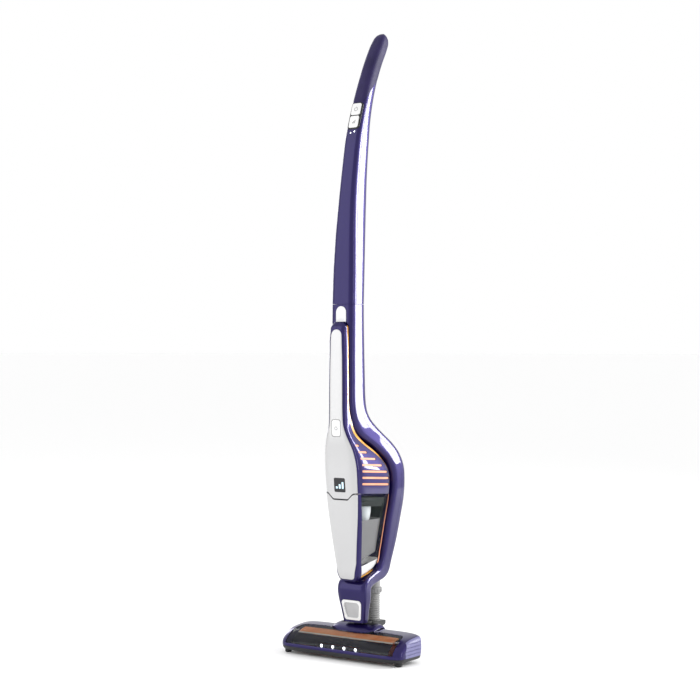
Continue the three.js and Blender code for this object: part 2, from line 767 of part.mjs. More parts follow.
function makeHandleWire() {
  const route = [
    [0, -38, 568],
    [0, -39, 640],
    [0, -38, 732],
    [0, -30, 823],
    [0, -17, 920],
    [0, -14, 950],
  ];
  const curve = new THREE.CatmullRomCurve3(route.map((point) => new THREE.Vector3(...point)));
  const section = new THREE.Shape().absarc(0, 0, 1.5, 0, 2 * Math.PI);
  const wire = new THREE.ExtrudeGeometry(section, { steps: 18, curveSegments: 4, extrudePath: curve });
  piece("handle_wire", RUBBER, solidFrom(wire));
}

// ---------------------------------------------------------------- handheld unit

const sloped = new THREE.Matrix4().set(
  1, 0, 0, 0,
  0, 1, 0, 0,
  0, -CUP_SLOPE, 1, CUP_SLOPE * CUP_SLOPE_FROM,
  0, 0, 0, 1,
);

// Everything below the parting plane between housing and dust cup.
function cupRegion(rise) {
  const top = CUP_TOP.map(([x, z]) => [x, z + rise]);
  const outline = mirrored([[70, 90], [70, top[0][1]], ...top]);
  return prismY(outline, -120, 120).applyMatrix4(sloped);
}

// Half width of the silver panel at each body section, for the sections from first to last.
function panelEdge(first, last, margin) {
  return HANDHELD.slice(first, last + 1).map(([, frontZ, , , half]) => [half - PANEL_MARGIN + margin, frontZ]);
}

function upperPanelRegion(margin) {
  const outline = [
    [33.8 + margin, 270],
    ...panelEdge(6, 14, margin),
    [11.6 + margin, 574],
    [9.5 + margin, 584],
    [4.5, 589 + margin],
  ];
  return prismY(mirrored(outline), -100, -61 + margin);
}

function lowerPanelRegion(margin) {
  const outline = [[12, 141 - margin], [16.8 + margin, 146], ...panelEdge(2, 5, margin), [34.8 + margin, 320]];
  return prismY(mirrored(outline), -100, -44 + margin);
}

const keyRegion = (margin) => block([-10.5 - margin, 10.5 + margin], [-100, -74], [399 - margin, 428 + margin]);
const statusRegion = (margin) =>
  block([-12 - margin, 12 + margin], [-100, -66], [299 - margin, 324 + margin]);

const VENT_COUNT = 7;
const VENT_FRONT = [-67, -62, -59, -56, -56, -56, -56];
const VENT_REAR = [-55, -35, -11, 6, 22, 28, 28];
const VENT_TOP = 382;
const VENT_PITCH = 11.35;

function ventSlot(row, height, shorten) {
  const z = (y) => VENT_TOP - VENT_PITCH * row - CUP_SLOPE * (y + 56);
  const [front, rear] = [VENT_FRONT[row] + shorten, VENT_REAR[row] - shorten];
  const half = height / 2;
  return [
    [front, z(front) - half],
    [rear, z(rear) - half],
    [rear, z(rear) + half],
    [front, z(front) + half],
  ];
}

// The accent line runs just in front of the cradle's front edge.
// The amber line beside the cradle's front edge: its width at each cradle section, and how far
// ahead of the edge it runs there.
const ACCENT_WIDTHS = [3, 3, 3, 4, 5.5, 6.5, 7, 6.5, 5, 4, 3.4, 3.2, 3, 3, 3];
const ACCENT_AHEAD = [6, 5, 6, 5, 5, 7, 4, 2, 1, 0.5, 0, 0, 0, 0, 0];
const ACCENT_FROM = 14; // the cradle section where it starts
const ACCENT_LOW = 312;
const ACCENT_HIGH = 596;

function accentRegion(margin) {
  const rim = CRADLE.slice(ACCENT_FROM).map(([frontY, frontZ], i) => [
    frontY - RECESS_GAP - ACCENT_AHEAD[i],
    frontZ - 0.6 - ACCENT_AHEAD[i] * 0.3,
  ]);
  const inner = rim.map(([y, z]) => [y + margin, z + margin]);
  const outer = rim.map(([y, z], i) => [y - ACCENT_WIDTHS[i] - margin, z - ACCENT_WIDTHS[i] * 0.4 - margin]);
  const band = prismX([...inner, ...outer.reverse()], -60, 60);
  return common(band, block([-60, 60], [-120, 60], [ACCENT_LOW - margin, ACCENT_HIGH + margin]));
}

function makeHousing() {
  const hollow = loft(HANDHELD, { inset: HOUSING_WALL, start: HOUSING_WALL, end: HOUSING_WALL });
  let housing = cut(loft(HANDHELD), hollow, cupRegion(0.25));
  housing = cut(housing, common(layer(HANDHELD, -1, PANEL_THICK + GAP), upperPanelRegion(GAP)));
  housing = cut(housing, keyRegion(GAP), block([-8, 8], [-50, -40], [543.5, 568.5]));
  const accent = common(layer(HANDHELD, 0, 1), accentRegion(0));
  housing = cut(housing, common(layer(HANDHELD, -1, 1.3), accentRegion(GAP)));
  const backing = layer(HANDHELD, HOUSING_WALL + GAP, HOUSING_WALL + 1.8);
  const ventBack = prismX(
    [
      [-64, 386],
      [-50, 386],
      [26, 336],
      [30, 304],
      [-60, 311],
    ],
    -60,
    60,
  );
  let inserts = common(backing, ventBack);
  const bars = layer(HANDHELD, 1.2, HOUSING_WALL + 0.6);
  for (let row = 0; row < VENT_COUNT; row += 1) {
    housing = cut(housing, prismX(ventSlot(row, 4.2, 0), -60, 60));
    inserts = join(inserts, common(bars, prismX(ventSlot(row, 3.4, 0.5), -60, 60)));
  }
  for (const [side, sign] of SIDES) {
    const half = block(sideSpan(sign, GAP / 2, 60), [-120, 120], [100, 700]);
    const flank = block(sideSpan(sign, 12, 60), [-120, 120], [100, 700]);
    piece(`housing_${side}`, PURPLE, common(housing, half));
    const ventSide = block(sideSpan(sign, 24, 60), [-70, 60], [290, 400]);
    piece(`vent_insert_${side}`, PEACH, common(inserts, ventSide));
    piece(`accent_trim_${side}`, AMBER, common(accent, flank));
  }
  const panel = common(layer(HANDHELD, 0, PANEL_THICK), upperPanelRegion(0));
  const trimmedPanel = cut(panel, cupRegion(0.25), keyRegion(GAP), statusRegion(GAP));
  piece("front_panel", SILVER, trimmedPanel);
  piece("handheld_button", WHITE, common(layer(HANDHELD, -0.2, 5), keyRegion(0)));
  piece("status_window", BLACK, common(layer(HANDHELD, -0.2, PANEL_THICK), statusRegion(0)));
}

function makeHandheldInternals() {
  piece("suction_motor", STEEL, cut(drumZ(24, 0, FAN_Y, 325, 366), drumZ(2.4, 0, FAN_Y, 320, 334, 12)));
  let fan = join(drumZ(26, 0, FAN_Y, 306, 309, 32), drumZ(7, 0, FAN_Y, 306, 321, 16));
  fan = join(fan, drumZ(2, 0, FAN_Y, 320, 332, 12));
  for (let k = 0; k < 8; k += 1) {
    const blade = block([5, 25], [-0.8, 0.8], [308, 319]).rotateZ((Math.PI * k) / 4).translate(0, FAN_Y, 0);
    fan = join(fan, blade);
  }
  piece("fan_impeller", GREY, fan);
  let battery = null;
  for (const [y, z] of [
    [4, 309],
    [21, 309],
    [4, 326],
    [21, 326],
  ]) {
    const cell = drumX(9.6, -26, 26, y, z, 16);
    battery = battery ? join(battery, cell) : solidFrom(cell);
  }
  piece("battery_pack", GREY, battery);
  piece("control_board", GREEN, block([-12, 12], [-66, -64.4], [440, 540]));
}

// ---------------------------------------------------------------- dust cup

const CUP_WALL = 2.4;
const FRAME_WALL = 2.2;

// The part of the cup in front of the slanted edge of its coloured front frame.
function cupFront(shift) {
  const edge = (z) => -58 + ((295 - z) * 20) / 158 + shift;
  return prismX(
    [
      [-120, 90],
      [edge(90), 90],
      [edge(320), 320],
      [-120, 320],
    ],
    -60,
    60,
  );
}

function makeDustCup() {
  const body = (inset) => loft(HANDHELD.slice(0, 8), { inset, start: inset, end: -inset });
  const below = cupRegion(-0.25);
  const inner = FRAME_WALL + GAP;
  const outside = join(cut(body(0), cupFront(GAP)), common(body(inner), cupFront(1)));
  const inside = join(cut(body(CUP_WALL), cupFront(CUP_WALL)), body(inner + CUP_WALL));
  const inlet = drumZ(10.5, 0, 4, 140, 175);
  piece("dust_cup", CLEAR, common(cut(outside, inside, inlet), below));

  const shell = common(cut(body(0), body(FRAME_WALL)), cupFront(0), below);
  const rebate = common(layer(HANDHELD, -1, PANEL_THICK - 0.4), lowerPanelRegion(GAP));
  piece("cup_frame", PURPLE, cut(shell, rebate));
  const panel = common(layer(HANDHELD, -0.3, PANEL_THICK - 0.7), lowerPanelRegion(0));
  piece("cup_panel", SILVER, common(panel, below));

  const slab = prismX(
    [
      [-66, 274.5],
      [38, 267],
      [38, 275],
      [-66, 282.5],
    ],
    -50,
    50,
  );
  const holder = common(body(inner + CUP_WALL + 0.8), slab);
  piece("filter_holder", BLACK, cut(holder, drumZ(14.8, 0, -8, 250, 300)));
  const chamber = (inset) => loft(HANDHELD.slice(1, 5), { inset, start: 16 + inset, end: 3 });
  const chamberInside = loft(HANDHELD.slice(1, 5), { inset: 9, start: 26, end: -6 });
  piece("outer_filter", SMOKE, cut(chamber(7.2), chamberInside));
  const cone = [
    [0, 203],
    [5, 203],
    [11, 236],
    [13, 262],
    [14.4, 268],
    [14.4, 279],
    [12, 279],
    [11, 262],
    [9, 236],
    [4, 206],
    [0, 206],
  ];
  piece("inner_filter", WHITE, turned(cone, -8, 20));
}

makeNozzle();
makeYoke();
makeHose();
makeCradle();
makeHandle();
makeHandleWire();
makeHousing();
makeHandheldInternals();
makeDustCup();

export default vacuum;
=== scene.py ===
"""Looks of a cordless stick vacuum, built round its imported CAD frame.

The tables are in millimetres and every mesh is made in metres. -Y is the front and the floor is z = 0.
"""

import json
import math
import random

import bmesh
import bpy
import numpy as np
from mathutils import Matrix, Vector
from numpy.linalg import norm


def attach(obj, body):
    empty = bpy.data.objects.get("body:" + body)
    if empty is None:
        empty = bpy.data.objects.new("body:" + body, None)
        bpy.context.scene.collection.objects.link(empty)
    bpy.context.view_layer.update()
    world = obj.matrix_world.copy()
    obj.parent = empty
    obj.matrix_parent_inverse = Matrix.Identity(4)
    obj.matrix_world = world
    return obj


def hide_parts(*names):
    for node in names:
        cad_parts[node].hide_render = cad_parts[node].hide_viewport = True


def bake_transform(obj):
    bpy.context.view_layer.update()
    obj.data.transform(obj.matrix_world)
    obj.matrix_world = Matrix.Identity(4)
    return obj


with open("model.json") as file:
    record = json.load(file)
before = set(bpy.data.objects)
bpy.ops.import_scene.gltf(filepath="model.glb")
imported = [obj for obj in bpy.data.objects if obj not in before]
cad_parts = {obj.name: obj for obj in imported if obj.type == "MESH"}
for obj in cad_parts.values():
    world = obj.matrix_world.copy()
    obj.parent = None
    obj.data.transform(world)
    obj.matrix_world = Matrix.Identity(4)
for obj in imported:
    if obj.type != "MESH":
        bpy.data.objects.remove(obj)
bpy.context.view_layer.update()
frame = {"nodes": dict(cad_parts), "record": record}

MM = 0.001
GAP = 0.3
RING_POINTS = 88
QUARTER_SAMPLES = 160
ROW_STEP = 4.0
CORNER_CUTS = 3
SIDES = (("left", -1), ("right", 1))

# ---------------- body sections, as in the CAD

# front y, front z, rear y, rear z, half width, and then the power of the rounded square
CRADLE = [
    (-30, 61, -14.5, 61, 23),
    (-34, 85, -14.5, 85, 27),
    (-38.5, 110, -14.5, 107, 31),
    (-39.5, 121, -14.5, 117.5, 31.5),
    (-38.8, 128, -14.2, 120.5, 31.2),
    (-36, 134.5, -13.5, 121.5, 31),
    (-27, 141.5, -8.5, 124.5, 30),
    (-12, 147, 1, 127.5, 28.8),
    (2, 151.8, 18, 131.5, 28),
    (13, 156.5, 37, 137, 27.5),
    (19.5, 164.5, 48.5, 146.5, 27.5),
    (24.6, 178, 54.5, 164, 28.5),
    (29, 210, 66, 201, 32),
    (32.5, 245, 75.5, 245, 36),
    (40, 283, 82, 285, 39.3),
    (43.5, 308, 83, 312, 40),
    (40, 333, 80.5, 341, 39.5),
    (28.5, 350.5, 68.5, 364, 38),
    (9.5, 366.5, 50, 383.5, 35),
    (-11.5, 381, 28, 400, 31.5),
    (-31, 391.5, 10, 414, 28.5),
    (-46, 402, -6, 428.5, 26.3),
    (-55.5, 416, -15, 442, 25),
    (-63.5, 433, -18.7, 455, 24.5),
    (-68, 455, -20.3, 470, 24.3),
    (-68.7, 500, -22, 505, 24.3),
    (-68, 560, -24, 560, 24.2),
    (-67.2, 600, -25, 600, 24.1),
    (-66.8, 634, -25.3, 634, 24),
]
HANDHELD = [
    (-47, 137.5, 11, 157, 21),
    (-50, 143, 19, 166, 24.5),
    (-55, 170, 24.5, 190, 27.5),
    (-60, 205, 27, 215, 31.5),
    (-65, 250, 31, 250, 36.5),
    (-69.5, 290, 38.3, 285, 39.3),
    (-73, 325, 41.5, 312, 40),
    (-75.5, 350, 36, 335, 39.3),
    (-78.5, 372, 22, 352, 36),
    (-81, 388, 0, 370, 31),
    (-82.3, 402, -24, 384.5, 25.5),
    (-82.8, 418, -40, 400, 20.5),
    (-83, 440, -47, 425, 19),
    (-83, 480, -48, 475, 18.7),
    (-82.6, 540, -48, 540, 18),
    (-81.5, 585, -48, 585, 16.5),
    (-79.5, 596, -50, 597, 15),
    (-75, 602, -54, 602, 10),
]
HANDLE = [
    (-66.8, 634.6, -25.3, 634.6, 24, 6),
    (-64.9, 687, -22.3, 687, 23.3, 6),
    (-62.7, 732, -18.9, 732, 22, 6),
    (-59.4, 778, -14.6, 778, 20, 6),
    (-54.7, 823, -10.1, 823, 18, 6),
    (-49.6, 860, -7.2, 860, 17, 6),
    (-43.7, 896, -3.7, 896, 16.4, 6),
    (-36.7, 933, 0.7, 933, 16, 6),
    (-25, 973.9, 6, 966.1, 15.3, 5),
    (-12, 1012.8, 16, 1003.2, 14.6, 4),
    (3.1, 1052, 30.1, 1040, 14.2, 3),
    (23.6, 1092.9, 48.4, 1079.1, 14, 3),
    (39.9, 1119.1, 63.1, 1104.9, 13.5, 3),
    (49.5, 1131.3, 69.5, 1118.7, 11.5, 3),
    (57.6, 1136.5, 70.4, 1128.5, 7.5, 3),
    (63.8, 1138, 68.2, 1134, 2.5, 3),
]
CRADLE_POWER = 6
HANDHELD_POWER = 5.5
CRADLE = [(*row, CRADLE_POWER) for row in CRADLE]
HANDHELD = [(*row, HANDHELD_POWER) for row in HANDHELD]

HINGE = (-1, 38)
SWIVEL_Y = -1
NECK_CORE = (0, 4)
HOSE_Y = 29.5
BRUSH = (-46, 21.5)
WHEEL = (10, 15, 15)
CUP_SLOPE = 0.0694
CUP_SLOPE_FROM = -67
CUP_TOP = [(40, 297.5), (27, 296), (16, 285.5)]

# ---------------- mesh helpers


def dense(stations):
    """The stations with smooth rows between them, about ROW_STEP apart along the body."""
    table = np.array(stations, float)
    centre = (table[:, 0:2] + table[:, 2:4]) / 2
    gaps = norm(np.diff(centre, axis=0), axis=1)
    rates = np.diff(table, axis=0) / gaps[:, None]
    slopes = np.empty_like(table)
    slopes[0], slopes[-1] = rates[0], rates[-1]
    before, after = gaps[:-1, None], gaps[1:, None]
    slopes[1:-1] = (rates[:-1] * after + rates[1:] * before) / (before + after)
    rows = []
    for i, gap in enumerate(gaps):
        count = max(1, round(gap / ROW_STEP))
        for k in range(count):
            u = k / count
            rows.append(
                (2 * u**3 - 3 * u**2 + 1) * table[i]
                + (u**3 - 2 * u**2 + u) * gap * slopes[i]
                + (3 * u**2 - 2 * u**3) * table[i + 1]
                + (u**3 - u**2) * gap * slopes[i + 1]
            )
    rows.append(table[-1])
    return np.clip(rows, table.min(0), table.max(0))


def mesh_object(name, points, faces):
    """A closed mesh from points in millimetres, with its faces turned outwards."""
    mesh = bpy.data.meshes.new(name)
    mesh.from_pydata([tuple(p) for p in np.array(points, float) * MM], [], faces)
    work = bmesh.new()
    work.from_mesh(mesh)
    bmesh.ops.recalc_face_normals(work, faces=work.faces)
    work.to_mesh(mesh)
    work.free()
    obj = bpy.data.objects.new(name, mesh)
    bpy.context.scene.collection.objects.link(obj)
    return obj


def skin(name, rings):
    """Rings of equal point count joined into one closed skin with flat ends."""
    sides = len(rings[0])
    faces = [tuple(range(sides)), tuple(range((len(rings) - 1) * sides, len(rings) * sides))]
    for r in range(len(rings) - 1):
        for k in range(sides):
            a, b = r * sides + k, r * sides + (k + 1) % sides
            faces.append((a, b, b + sides, a + sides))
    return mesh_object(name, np.concatenate(rings), faces)


def section(row, inset=0.0, shift=(0.0, 0.0)):
    """One rounded-square section with its points evenly spaced along each quarter."""
    front, rear, half, power = np.array(row[0:2]), np.array(row[2:4]), row[4], row[5]
    length = norm(rear - front)
    along = (rear - front) / length
    middle = (front + rear) / 2 + np.array(shift)
    angle = np.linspace(0, math.pi / 2, QUARTER_SAMPLES)
    across = (half - inset) * np.cos(angle).clip(0) ** (2 / power)
    depth = (length / 2 - inset) * np.sin(angle).clip(0) ** (2 / power)
    walked = np.concatenate([[0], np.cumsum(np.hypot(np.diff(across), np.diff(depth)))])
    wanted = np.linspace(0, walked[-1], RING_POINTS // 4 + 1)
    across, depth = np.interp(wanted, walked, across), np.interp(wanted, walked, depth)
    across = np.concatenate([across[:-1], -across[:0:-1], -across[:-1], across[:0:-1]])
    depth = np.concatenate([depth[:-1], depth[:0:-1], -depth[:-1], -depth[:0:-1]])
    return np.column_stack([across, middle[0] + depth * along[0], middle[1] + depth * along[1]])


def loft(name, stations, inset=0.0, start=0.0, end=0.0):
    """A body through the stations; a positive start or end moves that end inwards."""
    rows = dense(stations)
    centre = (rows[:, 0:2] + rows[:, 2:4]) / 2
    first = (centre[1] - centre[0]) / norm(centre[1] - centre[0]) * start
    last = (centre[-2] - centre[-1]) / norm(centre[-2] - centre[-1]) * end
    body = rows[1:-1]
    if start > 0:
        keep = (body[:, 0:4].reshape(-1, 2, 2).mean(1) - centre[0]) @ first > start * start
        body = body[keep]
    if end > 0:
        keep = (body[:, 0:4].reshape(-1, 2, 2).mean(1) - centre[-1]) @ last > end * end
        body = body[keep]
    rings = [section(rows[0], inset, first)]
    rings += [section(row, inset) for row in body]
    rings.append(section(rows[-1], inset, last))
    return skin(name, rings)


def prism(name, outline, low, high, axis):
    """An outline drawn out along X, Y or Z. Its pairs are (y, z), (x, z) or (x, y)."""
    order = {"X": (2, 0, 1), "Y": (0, 2, 1), "Z": (0, 1, 2)}[axis]
    rings = []
    for level in (low, high):
        flat = np.column_stack([np.array(outline, float), np.full(len(outline), level)])
        rings.append(flat[:, order])
    return skin(name, rings)


def block(x, y, z):
    return prism("block", [(x[0], y[0]), (x[1], y[0]), (x[1], y[1]), (x[0], y[1])], *z, "Z")


def circle(radius, centre=(0, 0), points=48):
    angles = np.linspace(0, 2 * math.pi, points, endpoint=False)
    return [(centre[0] + radius * math.cos(a), centre[1] + radius * math.sin(a)) for a in angles]


def rounded(outline, radius, steps=6):
    """The outline with each corner replaced by an arc of about that radius."""
    result = []
    count = len(outline)
    for i, corner in enumerate(np.array(outline, float)):
        before = np.array(outline[i - 1], float) - corner
        after = np.array(outline[(i + 1) % count], float) - corner
        reach = min(radius, norm(before) * 0.49, norm(after) * 0.49)
        a = corner + before / norm(before) * reach
        b = corner + after / norm(after) * reach
        for k in range(steps + 1):
            u = k / steps
            result.append(tuple((1 - u) ** 2 * a + 2 * u * (1 - u) * corner + u * u * b))
    return result


def softened(outline):
    """A closed outline with its corners cut again and again, so that it stays inside itself."""
    points = np.array(outline, float)
    for _ in range(CORNER_CUTS):
        following = np.roll(points, -1, axis=0)
        points = np.stack([0.75 * points + 0.25 * following, 0.25 * points + 0.75 * following], 1)
        points = points.reshape(-1, 2)
    return points


def rectangle(half, low, high, radius):
    return rounded([(half, low), (half, high), (-half, high), (-half, low)], radius)


def mirrored(outline):
    return list(outline) + [(-a, b) for a, b in reversed(outline)]


def span(sign, near, far):
    """The lowest and highest x of something that lies from near to far on one side."""
    return sorted((sign * near, sign * far))


def turned(name, profile, centre, points=64, axis="Z"):
    """A closed (radius, height) profile turned round an axis through centre."""
    radius, height = np.array(profile, float).T
    angles = np.linspace(0, 2 * math.pi, points, endpoint=False)
    rows = []
    for a in angles:
        around = np.column_stack([radius * math.cos(a), radius * math.sin(a), height])
        rows.append(around[:, (2, 0, 1)] if axis == "X" else around)
    count = len(profile)
    faces = []
    for r in range(points):
        for k in range(count):
            a, b = r * count + k, r * count + (k + 1) % count
            c = ((r + 1) % points) * count
            faces.append((a, b, c + (k + 1) % count, c + k))
    obj = mesh_object(name, np.concatenate(rows) + np.array(centre, float), faces)
    work = bmesh.new()
    work.from_mesh(obj.data)
    bmesh.ops.remove_doubles(work, verts=work.verts, dist=1e-7)
    bmesh.ops.dissolve_degenerate(work, edges=work.edges, dist=1e-8)
    bmesh.ops.recalc_face_normals(work, faces=work.faces)
    work.to_mesh(obj.data)
    work.free()
    return obj


def drum(radius, low, high, centre, axis="Z", points=48):
    return prism("drum", circle(radius, centre, points), low, high, axis)


def copy_of(obj):
    twin = obj.copy()
    twin.data = obj.data.copy()
    bpy.context.scene.collection.objects.link(twin)
    return twin


def remove(*objects):
    for obj in objects:
        mesh = obj.data
        bpy.data.objects.remove(obj)
        bpy.data.meshes.remove(mesh)


def apply_modifiers(obj):
    depsgraph = bpy.context.evaluated_depsgraph_get()
    mesh = bpy.data.meshes.new_from_object(obj.evaluated_get(depsgraph))
    old = obj.data
    obj.modifiers.clear()
    obj.data = mesh
    bpy.data.meshes.remove(old)


def combine(obj, operation, tools):
    """Joins, cuts or clips obj with each tool in turn, and removes the tools."""
    for tool in tools:
        modifier = obj.modifiers.new("combine", "BOOLEAN")
        modifier.operation = operation
        modifier.solver = "MANIFOLD"
        modifier.object = tool
        apply_modifiers(obj)
        remove(tool)
    return obj


def cut(obj, *tools):
    return combine(obj, "DIFFERENCE", tools)


def clip(obj, *tools):
    return combine(obj, "INTERSECT", tools)


def join(obj, *tools):
    return combine(obj, "UNION", tools)


def layer(stations, outer, inner, *regions):
    """The skin of a body between two depths below its surface, inside every region."""
    outside = loft("layer", stations, outer, outer, outer)
    return clip(cut(outside, loft("inner", stations, inner, inner, inner)), *regions)


def merged(name, objects):
    """Several separate solids as the parts of one piece."""
    work = bmesh.new()
    for obj in objects:
        work.from_mesh(obj.data)
    mesh = bpy.data.meshes.new(name)
    work.to_mesh(mesh)
    work.free()
    remove(*objects)
    result = bpy.data.objects.new(name, mesh)
    bpy.context.scene.collection.objects.link(result)
    return result


# ---------------- materials

GRAIN_DEPTH = 0.0001


class Nodes:
    """A new material's node tree, with its Principled shader."""

    def __init__(self, name):
        self.material = bpy.data.materials.new(name)
        self.material.use_nodes = True
        self.tree = self.material.node_tree
        self.shader = self.tree.nodes["Principled BSDF"]
        self.coordinates = self.add("ShaderNodeTexCoord").outputs["Object"]

    def add(self, kind, **values):
        node = self.tree.nodes.new(kind)
        for key, value in values.items():
            if key in node.inputs:
                node.inputs[key].default_value = value
            else:
                setattr(node, key, value)
        return node

    def link(self, source, target):
        self.tree.links.new(source, target)

    def set(self, **values):
        for key, value in values.items():
            self.shader.inputs[key.replace("_", " ")].default_value = value

    def noise(self, scale, detail=3.0, stretch=(1, 1, 1)):
        mapping = self.add("ShaderNodeMapping", Scale=stretch)
        self.link(self.coordinates, mapping.inputs["Vector"])
        node = self.add("ShaderNodeTexNoise", Scale=scale, Detail=detail)
        self.link(mapping.outputs["Vector"], node.inputs["Vector"])
        return node.outputs["Fac"]

    def blend_colors(self, factor, dark, light):
        ramp = self.add("ShaderNodeValToRGB")
        for element, place, color in zip(ramp.color_ramp.elements, (0.3, 0.7), (dark, light)):
            element.position = place
            element.color = (*color, 1)
        self.link(factor, ramp.inputs["Fac"])
        self.link(ramp.outputs["Color"], self.shader.inputs["Base Color"])

    def spread(self, factor, socket, low, high):
        node = self.add("ShaderNodeMapRange")
        node.inputs["To Min"].default_value = low
        node.inputs["To Max"].default_value = high
        self.link(factor, node.inputs["Value"])
        self.link(node.outputs["Result"], self.shader.inputs[socket])

    def bump(self, height, strength, distance):
        node = self.add("ShaderNodeBump", Strength=strength, Distance=distance)
        self.link(height, node.inputs["Height"])
        self.link(node.outputs["Normal"], self.shader.inputs["Normal"])


def plastic(name, dark, light, roughness, grain=900, bump=0.15, coat=0.0, shine=0.5):
    """Moulded plastic: slight colour drift, fine grain and uneven gloss."""
    n = Nodes(name)
    n.blend_colors(n.noise(35), dark, light)
    n.spread(n.noise(220), "Roughness", roughness * 0.85, roughness * 1.2)
    n.bump(n.noise(grain, 2), bump, GRAIN_DEPTH)
    n.set(Specular_IOR_Level=shine)
    if coat:
        n.set(Coat_Weight=coat, Coat_Roughness=0.03)
    return n.material


def lacquer(name, dark, light):
    """Deep glossy lacquer with a little flake under a clear coat."""
    n = Nodes(name)
    n.blend_colors(n.noise(4200, 1), dark, light)
    n.spread(n.noise(120), "Roughness", 0.3, 0.38)
    n.bump(n.noise(260, 1), 0.02, GRAIN_DEPTH)
    n.set(Metallic=0.6, Coat_Weight=0.75, Coat_Roughness=0.02, Coat_IOR=1.36, Specular_IOR_Level=0.12)
    return n.material


def brushed(name, dark, light, roughness, stretch, metallic=0.8):
    """Satin metal with fine lines along one direction."""
    n = Nodes(name)
    lines = n.noise(260, 4, stretch)
    n.blend_colors(lines, dark, light)
    n.spread(lines, "Roughness", roughness * 0.8, roughness * 1.25)
    n.bump(lines, 0.06, GRAIN_DEPTH)
    n.set(Metallic=metallic)
    return n.material


def clear(name, color, alpha, roughness=0.04):
    """Clear or tinted plastic with faint moulding marks."""
    n = Nodes(name)
    n.blend_colors(n.noise(60), color, tuple(min(1, c * 1.15) for c in color))
    n.spread(n.noise(300), "Roughness", roughness, roughness * 2)
    n.set(Alpha=alpha, Specular_IOR_Level=0.35)
    return n.material


def glowing(name, color, strength):
    n = Nodes(name)
    n.blend_colors(n.noise(800), color, color)
    n.set(Roughness=0.3, Emission_Color=(*color, 1), Emission_Strength=strength)
    return n.material


PURPLE = lacquer("purple_lacquer", (0.01, 0.006, 0.062), (0.022, 0.013, 0.105))
SILVER = brushed("silver_panel", (0.5, 0.5, 0.505), (0.63, 0.63, 0.635), 0.34, (40, 40, 0.6), 0.6)
AMBER = plastic("amber_trim", (0.82, 0.36, 0.03), (0.95, 0.47, 0.06), 0.25, coat=0.6)
PEACH = plastic("peach_vent", (0.8, 0.3, 0.15), (0.92, 0.4, 0.22), 0.4)
CUP_GLASS = clear("cup_glass", (0.02, 0.03, 0.03), 0.07)
WINDOW_GLASS = clear("window_glass", (0.012, 0.013, 0.022), 0.26)
SMOKE = clear("smoked_skirt", (0.01, 0.01, 0.012), 0.8)
CHAMBER = clear("filter_chamber", (0.26, 0.26, 0.265), 0.62, 0.2)
CONE = plastic("filter_cone", (0.84, 0.92, 0.97), (0.93, 0.98, 1.0), 0.35, bump=0.05)
BLACK = plastic("black_plastic", (0.006, 0.006, 0.008), (0.014, 0.014, 0.018), 0.4, bump=0.3)
DARK_GREEN = plastic("dark_collar", (0.003, 0.008, 0.008), (0.006, 0.014, 0.013), 0.5, bump=0.05, shine=0.2)
GREY = plastic("grey_plastic", (0.2, 0.2, 0.2), (0.28, 0.28, 0.28), 0.45, bump=0.3)
HOSE_GREY = plastic("hose_grey", (0.22, 0.22, 0.22), (0.31, 0.31, 0.3), 0.45, bump=0.2)
WHITE = plastic("white_plastic", (0.78, 0.78, 0.78), (0.87, 0.87, 0.87), 0.28, bump=0.03, coat=0.4)
ICON = plastic("icon_ink", (0.1, 0.1, 0.11), (0.14, 0.14, 0.15), 0.5)
PALE_GREY = plastic("pale_grey", (0.42, 0.42, 0.43), (0.5, 0.5, 0.51), 0.35, bump=0.05)
LAVENDER = plastic("lavender_plastic", (0.12, 0.115, 0.26), (0.16, 0.155, 0.32), 0.4, bump=0.05)
BRISTLE = plastic("bristle_orange", (0.85, 0.2, 0.04), (1.0, 0.36, 0.12), 0.75)
HOOD = plastic("hood_orange", (0.95, 0.33, 0.1), (1.0, 0.48, 0.2), 0.7)
ROLL = plastic("roll_orange", (0.5, 0.08, 0.02), (0.65, 0.13, 0.03), 0.5)
STEEL = brushed("steel", (0.45, 0.45, 0.46), (0.62, 0.62, 0.63), 0.28, (0.5, 40, 40), 1.0)
STRIP = plastic("pale_strip", (0.88, 0.8, 0.66), (0.97, 0.9, 0.78), 0.4)
COPPER = brushed("copper", (0.7, 0.35, 0.15), (0.85, 0.5, 0.25), 0.25, (40, 40, 0.6), 1.0)
BOARD = plastic("circuit_board", (0.01, 0.08, 0.03), (0.02, 0.14, 0.06), 0.4)
RUBBER = plastic("black_rubber", (0.008, 0.008, 0.009), (0.02, 0.02, 0.022), 0.75, 1400, 0.5)
GRIP = plastic("soft_grip", (0.013, 0.008, 0.055), (0.022, 0.014, 0.078), 0.5, 2400, 0.4, shine=0.25)
CELL = plastic("battery_wrap", (0.02, 0.05, 0.12), (0.03, 0.07, 0.16), 0.4)
GLOW = glowing("lamp_glow", (0.9, 0.95, 1.0), 9)
DOT = glowing("dot_glow", (0.9, 0.95, 1.0), 4)
GAUGE = glowing("gauge_glow", (0.55, 0.75, 0.85), 0.5)

CAD_LOOKS = {
    "black_plastic": BLACK,
    "grey_plastic": GREY,
    "steel": STEEL,
    "rubber": RUBBER,
    "green_board": BOARD,
    "copper": COPPER,
    "white_plastic": WHITE,
    "purple_shell": PURPLE,
}


EDGE_ANGLE = 38
EDGE_SEGMENTS = 2


def smooth(obj, angle=32):
    for polygon in obj.data.polygons:
        polygon.use_smooth = True
    obj.data.set_sharp_from_angle(angle=math.radians(angle))


def rounding(obj, width):
    modifier = obj.modifiers.new("edge", "BEVEL")
    modifier.limit_method = "ANGLE"
    modifier.angle_limit = math.radians(EDGE_ANGLE)
    modifier.width = width * MM
    modifier.segments = EDGE_SEGMENTS
    modifier.use_clamp_overlap = True
    weighted = obj.modifiers.new("normals", "WEIGHTED_NORMAL")
    weighted.keep_sharp = True


